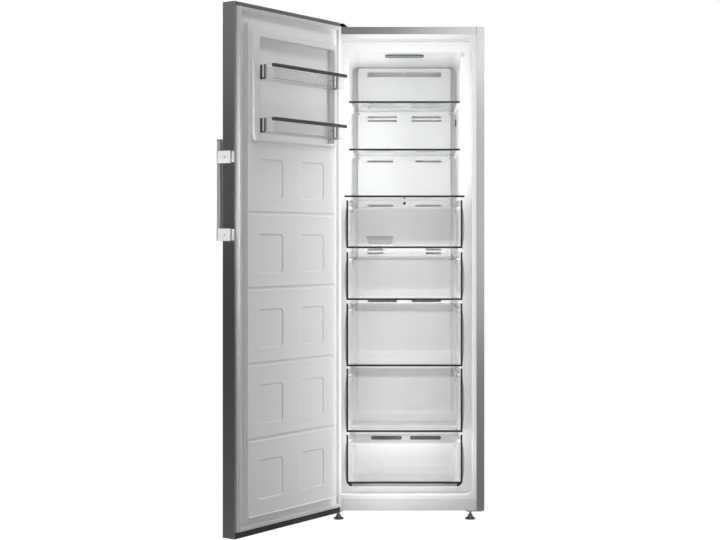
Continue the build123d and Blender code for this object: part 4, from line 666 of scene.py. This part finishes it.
class Growth:
    """A Geometry Nodes tree under construction, with named inputs."""

    def __init__(self, name, inputs):
        self.tree = bpy.data.node_groups.new(name, "GeometryNodeTree")
        interface = self.tree.interface
        interface.new_socket("Geometry", in_out="OUTPUT", socket_type="NodeSocketGeometry")
        for label, (kind, value) in inputs.items():
            socket = interface.new_socket(label, in_out="INPUT", socket_type=f"NodeSocket{kind}")
            if value is not None:
                socket.default_value = value
        self.start = self.tree.nodes.new("NodeGroupInput")
        self.end = self.tree.nodes.new("NodeGroupOutput")

    def given(self, label):
        return self.start.outputs[label]

    def node(self, kind, settings=None, inputs=None, output=0):
        made = self.tree.nodes.new(kind)
        for key, value in (settings or {}).items():
            setattr(made, key, value)
        for key, value in (inputs or {}).items():
            if isinstance(value, bpy.types.NodeSocket):
                self.tree.links.new(value, made.inputs[key])
            else:
                made.inputs[key].default_value = value
        return made.outputs[output]

    def row(self):
        """Points in a straight line: from Start, Count of them, one Step apart."""
        count, start, step = self.given("Count"), self.given("Start"), self.given("Step")
        inputs = {"Count": count, "Start Location": start, "Offset": step}
        return self.node("GeometryNodeMeshLine", {"mode": "OFFSET"}, inputs)

    def scaled(self, value, factor):
        return self.node("ShaderNodeMath", {"operation": "MULTIPLY"}, {0: value, 1: factor})

    def finish(self, geometry, material):
        """Turns the copies into plain faces of one material, as what the tree gives."""
        real = self.node("GeometryNodeRealizeInstances", None, {0: geometry})
        painted = self.node("GeometryNodeSetMaterial", None, {"Geometry": real, "Material": material})
        self.tree.links.new(painted, self.end.inputs[0])
        return self.tree


def grow(name, tree, values, body):
    """Runs a tree with its inputs set, and keeps the result as a plain mesh on a body."""
    seed = bpy.data.objects.new(name, bpy.data.meshes.new(name))
    bpy.context.scene.collection.objects.link(seed)
    modifier = seed.modifiers.new("Growth", "NODES")
    modifier.node_group = tree
    sockets = {item.name: item.identifier for item in tree.interface.items_tree if item.in_out == "INPUT"}
    for label, value in values.items():
        modifier[sockets[label]] = value
    bpy.context.view_layer.update()
    result = bpy.data.meshes.new_from_object(seed.evaluated_get(bpy.context.evaluated_depsgraph_get()))
    seed.modifiers.remove(modifier)
    seed.data = result
    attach(seed, body)
    return seed


def bar_row(material):
    """A straight row of square bars: from Start, Count bars, one Step apart."""
    growth = Growth("Bar Row", {
        "Start": ("Vector", (0.0, 0.0, 0.0)),
        "Step": ("Vector", (0.01, 0.0, 0.0)),
        "Count": ("Int", 10),
        "Bar Size": ("Vector", (0.002, 0.002, 0.01)),
    })
    line = growth.row()
    bar = growth.node("GeometryNodeMeshCube", None, {"Size": growth.given("Bar Size")})
    rows = growth.node("GeometryNodeInstanceOnPoints", None, {"Points": line, "Instance": bar})
    return growth.finish(rows, material)


def screw_row(material):
    """A straight row of pan-head screws with a crossed recess, facing along Turn."""
    growth = Growth("Screw Row", {
        "Start": ("Vector", (0.0, 0.0, 0.0)),
        "Step": ("Vector", (0.0, 0.0, 0.1)),
        "Count": ("Int", 6),
        "Head Radius": ("Float", 0.004),
        "Turn": ("Vector", (0.0, 0.0, 0.0)),
    })
    line = growth.row()
    radius = growth.given("Head Radius")
    rim = growth.scaled(radius, HEAD_TAPER)
    inputs = {"Vertices": HEAD_SIDES, "Radius Top": rim, "Radius Bottom": radius, "Depth": radius}
    dome = growth.node("GeometryNodeMeshCone", None, inputs, output="Mesh")
    low = growth.node("GeometryNodeTransform", None, {"Geometry": dome, "Scale": (1.0, 1.0, HEAD_HEIGHT)})
    slot = growth.node("GeometryNodeMeshCube", None, {"Size": RECESS_ARM})
    quarter = (0.0, 0.0, math.pi / 2)
    cross = growth.node("GeometryNodeTransform", None, {"Geometry": slot, "Rotation": quarter})
    lift = growth.node("ShaderNodeCombineXYZ", None, {"Z": growth.scaled(radius, HEAD_HEIGHT)})
    raised = []
    for arm in (slot, cross):
        raised.append(growth.node("GeometryNodeTransform", None, {"Geometry": arm, "Translation": lift}))
    head = growth.tree.nodes.new("GeometryNodeMeshBoolean")
    head.operation = "DIFFERENCE"
    growth.tree.links.new(low, head.inputs[0])
    for arm in raised:
        growth.tree.links.new(arm, head.inputs[1])
    rows = growth.node(
        "GeometryNodeInstanceOnPoints", None,
        {"Points": line, "Instance": head.outputs[0], "Rotation": growth.given("Turn")},
    )
    return growth.finish(rows, material)


# ------------------------------------------------------------------ operators
class FREEZER_OT_steelwork(bpy.types.Operator):
    """Finishes the coated steel of the body and the door, and the bare sheets behind and below"""

    bl_idname = "freezer.steelwork"
    bl_label = "Steelwork"

    def execute(self, context):
        finish = finish_of(context)
        low, high = (Vector(corner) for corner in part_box("outer_wrapper"))
        seam = (high.x - SIDE_FLANGE, high.z - TOP_FLANGE)
        dress(coated_steel("Body Steel", finish.steel, finish.steel_roughness, seam=seam), "outer_wrapper")
        dress(coated_steel("Door Steel", finish.steel, finish.steel_roughness), "door_skin")
        dress(formed_plastic("Enamelled Rail", (0.74, 0.745, 0.75), 0.3, 0.0012), "front_rail")
        dress(zinc_sheet("Zinc Sheet", (0.52, 0.53, 0.54), 0.45), "rear_panel", "base_pan",
              "compressor_base", "compartment_cover")
        dress(foam("Foam"), "insulation", "door_foam")
        dark = (0.045, 0.046, 0.049)
        dress(grained_plastic("Hinge Cover", dark, 0.5), "hinge_cover")
        # painted light: both caps are one dark plastic, coloured 3.2 times lighter on the top cap than on the
        # bottom cap to stand in for light from above
        middle = (low.z + high.z) / 2
        dress(grained_plastic("Door Cap", shaded(dark, 3.2), 0.5, toe=(middle, 1.0, dark)), "door_end_caps")
        return {"FINISHED"}


class FREEZER_OT_liners(bpy.types.Operator):
    """Finishes the liners, air cover and ice tray, and sets the cover's clips and the wall's slot"""

    bl_idname = "freezer.liners"
    bl_label = "Liners"

    def execute(self, context):
        finish = finish_of(context)
        dress(formed_plastic("Liner Sheet", finish.liner, 0.34, 0.004), "inner_liner")
        dress(formed_plastic("Door Panel Sheet", finish.liner, 0.36, 0.004), "door_liner")
        dress(formed_plastic("Air Cover", finish.liner, 0.42, 0.0015), "evaporator_cover")
        low, high = (Vector(corner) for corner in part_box("evaporator_cover"))
        tree = screw_row(grained_plastic("Clip Plastic", (0.09, 0.09, 0.092), 0.5))
        for number, level in enumerate(CLIP_LEVELS):
            values = {
                "Start": (low.x + CLIP_INSET, low.y + CLIP_SUNK, level),
                "Step": (high.x - low.x - 2 * CLIP_INSET, 0.0, 0.0),
                "Count": 2,
                "Head Radius": CLIP_RADIUS,
                "Turn": (math.pi / 2, 0.0, 0.0),
            }
            grow(f"cover_clips_{number + 1}", tree, values, "cabinet")
        # painted shade: a near-black block standing off the wall stands in for the shade inside the slot
        slot = bar_row(grained_plastic("Slot Plastic", (0.05, 0.05, 0.052), 0.5))
        start = (high.x + COVER_INSET - SLOT_OFF_WALL, SLOT_BACK, SLOT_LEVEL)
        values = {"Start": start, "Count": 1, "Bar Size": SLOT_SIZE}
        grow("wall_slot", slot, values, "cabinet")
        dress(formed_plastic("Ice Tray", shaded(finish.liner, 0.12), 0.3, 0.001), "ice_tray")
        return {"FINISHED"}


class FREEZER_OT_seal(bpy.types.Operator):
    """Models the door's pleated magnetic seal in place of its plain ring"""

    bl_idname = "freezer.seal"
    bl_label = "Door Seal"

    def execute(self, context):
        low, high = closed_corners("door_gasket")
        height = high.y - low.y
        folds = detail_of(context).seal_folds
        width = detail_of(context).seal_width
        step = (height - SEAL_FOOT - SEAL_HEAD) / folds
        bases = [SEAL_FOOT + fold * step for fold in range(folds)]
        outline = [(SEAL_FOOT_IN, 0.0), (width - SEAL_FOOT_IN, 0.0), (width - SEAL_FOOT_IN, SEAL_FOOT)]
        for base in bases:
            outline += [(width - SEAL_VALLEY_IN, base + step * 0.5), (width - SEAL_RIDGE_IN, base + step)]
        outline.append((width - SEAL_SHOULDER_IN, height - SEAL_SHOULDER_DOWN))
        ribs = detail_of(context).seal_ribs
        pitch = (width - 2 * SEAL_RIDGE_IN) / ribs
        for rib in range(ribs):
            inner = width - SEAL_RIDGE_IN - rib * pitch
            for share, down in ((0.0, SEAL_RIB), (0.2, 0.0), (0.75, 0.0), (0.95, SEAL_RIB)):
                outline.append((inner - pitch * share, height - down))
        outline.append((SEAL_SHOULDER_OUT, height - SEAL_SHOULDER_DOWN))
        for base in reversed(bases):
            outline += [(SEAL_RIDGE_IN, base + step), (SEAL_VALLEY_IN, base + step * 0.5)]
        outline.append((SEAL_FOOT_IN, SEAL_FOOT))
        material = rubber("Door Seal", finish_of(context).seal)
        piece = mesh_piece(
            "door_seal", lambda work: ring_sweep(work, outline, low, high, CLOSED_TO_OPEN), material, "door"
        )
        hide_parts("door_gasket")
        return {"FINISHED"}


class FREEZER_OT_shelves(bpy.types.Operator):
    """Finishes the glass shelves and their front trims"""

    bl_idname = "freezer.shelves"
    bl_label = "Shelves"

    def execute(self, context):
        glass = shelf_glass("Shelf Glass")
        trim = grained_plastic("Shelf Trim", finish_of(context).dark, 0.35)
        for shelf in SHELVES:
            level = shelf.removeprefix("shelf_")
            dress(glass, f"shelf_glass_{level}")
            dress(trim, f"shelf_trim_{level}")
        return {"FINISHED"}


class FREEZER_OT_drawers(bpy.types.Operator):
    """Finishes the clear drawers and their dark frames, and sets the pins in their fronts"""

    bl_idname = "freezer.drawers"
    bl_label = "Drawers"

    def execute(self, context):
        finish = finish_of(context)
        sides = (FRAME_HALF, shaded(finish.liner, 0.42))
        trim = grained_plastic("Drawer Frame", finish.dark, 0.4, sides=sides)
        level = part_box("drawer_trim_1")[0][2] + TOE_HEIGHT
        toe = (level, FRAME_HALF - TOE_END, shaded(finish.liner, 0.35))
        toed = grained_plastic("Bottom Drawer Frame", finish.dark, 0.4, sides=sides, toe=toe)
        pins = screw_row(grained_plastic("Pin Plastic", (0.10, 0.101, 0.104), 0.5))
        for drawer in DRAWERS:
            number = drawer.removeprefix("drawer_")
            low, high = (Vector(corner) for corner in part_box(f"drawer_bin_{number}"))
            front = (low.y + GRIP_DEPTH + 2 * DRAWER_SKIN, high.z - GRIP_HEIGHT)
            cover = finish.drawer_cover * (TOP_DRAWER_SHARE if drawer == DRAWERS[-1] else 1.0)
            clear = clear_plastic(f"Drawer Styrene {number}", finish.clear, cover, front)
            dress(clear, f"drawer_bin_{number}")
            values = {
                "Start": (-PIN_SPREAD, low.y, high.z - PIN_DOWN),
                "Step": (2 * PIN_SPREAD, 0.0, 0.0),
                "Count": 2,
                "Head Radius": PIN_RADIUS,
                "Turn": (math.pi / 2, 0.0, 0.0),
            }
            grow(f"front_pins_{number}", pins, values, drawer)
            dress(toed if number == "1" else trim, f"drawer_trim_{number}")
        return {"FINISHED"}


class FREEZER_OT_racks(bpy.types.Operator):
    """Finishes the door racks and their rails"""

    bl_idname = "freezer.racks"
    bl_label = "Door Racks"

    def execute(self, context):
        finish = finish_of(context)
        # the racks get a wider, denser band of painted edge shade than the drawers
        clear = clear_plastic("Rack Styrene", finish.clear, finish.rack_cover, line=0.0022, edge_shade=0.85)
        rail = grained_plastic("Rack Rail", shaded(finish.dark, 6.0), 0.3)
        for rack in RACKS:
            level = rack.removeprefix("rack_")
            dress(clear, f"door_rack_{level}")
            dress(rail, f"rack_rail_{level}")
        return {"FINISHED"}


class FREEZER_OT_cold_air(bpy.types.Operator):
    """Finishes the ceiling panel, sensor, fan and evaporator, and sets the bars of the return grilles"""

    bl_idname = "freezer.cold_air"
    bl_label = "Cold Air Parts"

    def execute(self, context):
        finish, detail = finish_of(context), detail_of(context)
        dark = grained_plastic("Dark Moulding", finish.dark, 0.45)
        dress(dark, "temperature_sensor")
        # painted shade: the grille moulding is near-black brown, the shade seen in the inlet openings
        dress(grained_plastic("Grille Moulding", (0.028, 0.013, 0.012), 0.5), "return_grilles")
        dress(grained_plastic("Control Panel", (0.055, 0.057, 0.06), 0.25), "control_panel")
        dress(grained_plastic("Fan Plastic", (0.16, 0.165, 0.17), 0.5), "fan_motor", "fan_rotor")
        dress(bright_metal("Fin Metal", (0.70, 0.71, 0.72), 0.4), "evaporator")
        low, high = (Vector(corner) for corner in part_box("return_grilles"))
        pitch, width = detail.slat_pitch, detail.slat_width
        # the bars carry the same painted shade as the moulding
        tree = bar_row(grained_plastic("Grille Bar", (0.045, 0.024, 0.022), 0.4))
        inset = (high.z - low.z) / 2
        for number, start in enumerate((low.x, high.x - GRILLE_LENGTH)):
            values = {
                "Start": (start + inset, low.y - BAR_PROUD, (low.z + high.z) / 2),
                "Step": (pitch, 0.0, 0.0),
                "Count": int((GRILLE_LENGTH - 2 * inset) / pitch) + 1,
                "Bar Size": (width, BAR_DEPTH, high.z - low.z - BAR_SHORT),
            }
            grow(f"return_grille_bars_{number + 1}", tree, values, "cabinet")
        return {"FINISHED"}


class FREEZER_OT_handle(bpy.types.Operator):
    """Finishes the handle's bar, arms and plates, and sets the screws in the plates"""

    bl_idname = "freezer.handle"
    bl_label = "Handle"

    def execute(self, context):
        dress(bright_metal("Handle Steel", (0.56, 0.565, 0.57), 0.34, (900, 900, 8), 0.5), "handle_bar")
        dress(bright_metal("Handle Plate", (0.86, 0.865, 0.87), 0.34, (900, 900, 8), 0.15), "handle_plates")
        dress(grained_plastic("Handle Arm", (0.10, 0.102, 0.105), 0.45), "handle_brackets")
        low, high = closed_corners("handle_plates")
        turned = (math.pi / 2, 0.0, math.pi / 2 - OPEN_ANGLE)
        tree = screw_row(grained_plastic("Set Screw", (0.02, 0.02, 0.021), 0.4))
        first = CLOSED_TO_OPEN @ Vector((high.x - SET_SCREW_IN, low.y + SET_SCREW_BACK, low.z + SET_SCREW_UP))
        values = {
            "Start": first,
            "Step": (0.0, 0.0, high.z - low.z - 2 * SET_SCREW_UP),
            "Count": 2,
            "Head Radius": SET_SCREW_RADIUS,
            "Turn": turned,
        }
        grow("handle_set_screws", tree, values, "door")
        return {"FINISHED"}


class FREEZER_OT_hinges(bpy.types.Operator):
    """Finishes the hinges, feet and rollers, and sets the screws of the back"""

    bl_idname = "freezer.hinges"
    bl_label = "Hinges, Feet and Screws"

    def execute(self, context):
        detail = detail_of(context)
        plated = bright_metal("Plated Steel", (0.58, 0.585, 0.59), 0.36)
        dress(plated, "bottom_hinge", "top_hinge", "hinge_pins", "hinge_screws", "foot_plate")
        dress(grained_plastic("Black Plastic", (0.035, 0.036, 0.038), 0.5), "roller_left", "roller_right",
              "door_bushes", "cord_gland")
        foot = bright_metal("Foot Metal", (0.34, 0.345, 0.35), 0.28, (300, 300, 900), 0.7)
        dress(foot, "foot_left", "foot_right")
        dress(grained_plastic("Cap Plastic", (0.66, 0.665, 0.67), 0.5), "blanking_caps")
        low, high = (Vector(corner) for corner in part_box("rear_panel"))
        tree = screw_row(plated)
        rise = (high.z - low.z - 2 * BACK_SCREW_END) / (detail.panel_screws - 1)
        for side, x in (("left", low.x + BACK_SCREW_IN), ("right", high.x - BACK_SCREW_IN)):
            values = {
                "Start": (x, high.y - BACK_SCREW_SUNK, low.z + BACK_SCREW_END),
                "Step": (0.0, 0.0, rise),
                "Count": detail.panel_screws,
                "Head Radius": detail.screw_head,
                "Turn": (-math.pi / 2, 0.0, 0.0),
            }
            grow(f"back_screws_{side}", tree, values, "cabinet")
        return {"FINISHED"}


class FREEZER_OT_machine(bpy.types.Operator):
    """Finishes the compressor, its mounts and the drip tray"""

    bl_idname = "freezer.machine"
    bl_label = "Machine Compartment"

    def execute(self, context):
        dress(grained_plastic("Compressor Enamel", (0.012, 0.012, 0.013), 0.3, 200.0), "compressor")
        dress(rubber("Mount Rubber", (0.03, 0.03, 0.03)), "compressor_mounts")
        dress(grained_plastic("Tray Plastic", (0.04, 0.04, 0.042), 0.45), "drip_tray")
        return {"FINISHED"}


class FREEZER_OT_studio(bpy.types.Operator):
    """Sets the floor, the soft lights and the camera"""

    bl_idname = "freezer.studio"
    bl_label = "Studio"

    def execute(self, context):
        studio = context.scene.freezer_studio
        self.floor()
        self.world(context, studio)
        context.scene.view_settings.view_transform = "Standard"
        for name, (place, target, size, matt, gloss) in LIGHTS.items():
            self.card(name, place, target, size, getattr(studio, name), matt, gloss)
        self.camera(context, studio)
        return {"FINISHED"}

    @staticmethod
    def floor():
        mesh = bpy.data.meshes.new("studio_floor")
        corners = [(x * FLOOR_REACH, y * FLOOR_REACH, 0) for x, y in ((-1, -1), (1, -1), (1, 1), (-1, 1))]
        mesh.from_pydata(corners, [], [(0, 1, 2, 3)])
        paint = Paint("Floor")
        tone = paint.noise(0.8, detail=2)
        seen = paint.node("ShaderNodeLightPath", output="Is Camera Ray")
        shade = paint.blend(tone, (0.42, 0.42, 0.42), (0.46, 0.46, 0.46))
        paint.set(base_color=paint.blend(seen, shade, (0.0, 0.0, 0.0)), roughness=0.7)
        paint.set(emission_color=paint.blend(seen, (0.0, 0.0, 0.0), (1.0, 1.0, 1.0)))
        paint.set(emission_strength=1.0, specular_ior_level=0.1)
        mesh.materials.append(paint.material)
        floor = bpy.data.objects.new("studio_floor", mesh)
        bpy.context.scene.collection.objects.link(floor)

    @staticmethod
    def world(context, studio):
        world = bpy.data.worlds.new("Studio Room")
        context.scene.world = world
        world.use_nodes = True
        room = Paint("Studio Room", world.node_tree)
        background = next(node for node in world.node_tree.nodes if node.type == "BACKGROUND")
        seen = room.node("ShaderNodeLightPath", output="Is Camera Ray")
        _, inward, upward = room.parts(room.node("ShaderNodeTexCoord", output="Generated"))
        front = (0 - inward).held(0.0, 0.8) * studio.sky_front
        bright = front + upward.held(0.2, 1.0) * studio.sky_top + studio.sky
        room.plug(background.inputs["Strength"], seen + (1 - seen) * bright)
        background.inputs["Color"].default_value = (1, 1, 1, 1)

    @staticmethod
    def card(name, place, target, size, power, matt, gloss):
        light = bpy.data.lights.new(name, "AREA")
        light.shape = "RECTANGLE"
        light.size, light.size_y = size
        light.energy = power
        lamp = bpy.data.objects.new(name, light)
        lamp.location = place
        lamp.rotation_euler = (Vector(target) - Vector(place)).to_track_quat("-Z", "Y").to_euler()
        lamp.visible_camera = False
        lamp.visible_diffuse = matt
        lamp.visible_glossy = gloss
        bpy.context.scene.collection.objects.link(lamp)

    @staticmethod
    def camera(context, studio):
        data = bpy.data.cameras.new("Camera")
        data.sensor_width = SENSOR_WIDTH
        data.lens = studio.focal_pixels * SENSOR_WIDTH / PICTURE_WIDTH
        data.shift_x = (PICTURE_WIDTH / 2 - studio.axis_x) / PICTURE_WIDTH
        data.shift_y = (studio.axis_y - PICTURE_HEIGHT / 2) / PICTURE_WIDTH
        camera = bpy.data.objects.new("Camera", data)
        camera.location = (0, -studio.distance, studio.height)
        camera.rotation_euler = (math.pi / 2, 0, 0)
        context.scene.collection.objects.link(camera)
        context.scene.camera = camera


class FREEZER_PT_panel(bpy.types.Panel):
    """Lists the freezer's pieces and settings"""

    bl_label = "Freezer"
    bl_idname = "FREEZER_PT_panel"
    bl_space_type = "VIEW_3D"
    bl_region_type = "UI"
    bl_category = "Freezer"

    def draw(self, context):
        for group in ("freezer_finish", "freezer_detail", "freezer_studio"):
            settings = getattr(context.scene, group)
            box = self.layout.box()
            for name in settings.__annotations__:
                box.prop(settings, name)
        for operator in STEPS:
            self.layout.operator(operator.bl_idname)


GROUPS = {"freezer_finish": FreezerFinish, "freezer_detail": FreezerDetail, "freezer_studio": FreezerStudio}
STEPS = (
    FREEZER_OT_steelwork,
    FREEZER_OT_liners,
    FREEZER_OT_seal,
    FREEZER_OT_shelves,
    FREEZER_OT_drawers,
    FREEZER_OT_racks,
    FREEZER_OT_cold_air,
    FREEZER_OT_handle,
    FREEZER_OT_hinges,
    FREEZER_OT_machine,
    FREEZER_OT_studio,
)


def register():
    for kind in (*GROUPS.values(), *STEPS, FREEZER_PT_panel):
        bpy.utils.register_class(kind)
    for name, kind in GROUPS.items():
        setattr(bpy.types.Scene, name, PointerProperty(type=kind))


def unregister():
    for name in GROUPS:
        delattr(bpy.types.Scene, name)
    for kind in reversed((*GROUPS.values(), *STEPS, FREEZER_PT_panel)):
        bpy.utils.unregister_class(kind)


def main():
    register()
    for step in STEPS:
        group, name = step.bl_idname.split(".")
        getattr(getattr(bpy.ops, group), name)()


if __name__ == "__main__":
    main()
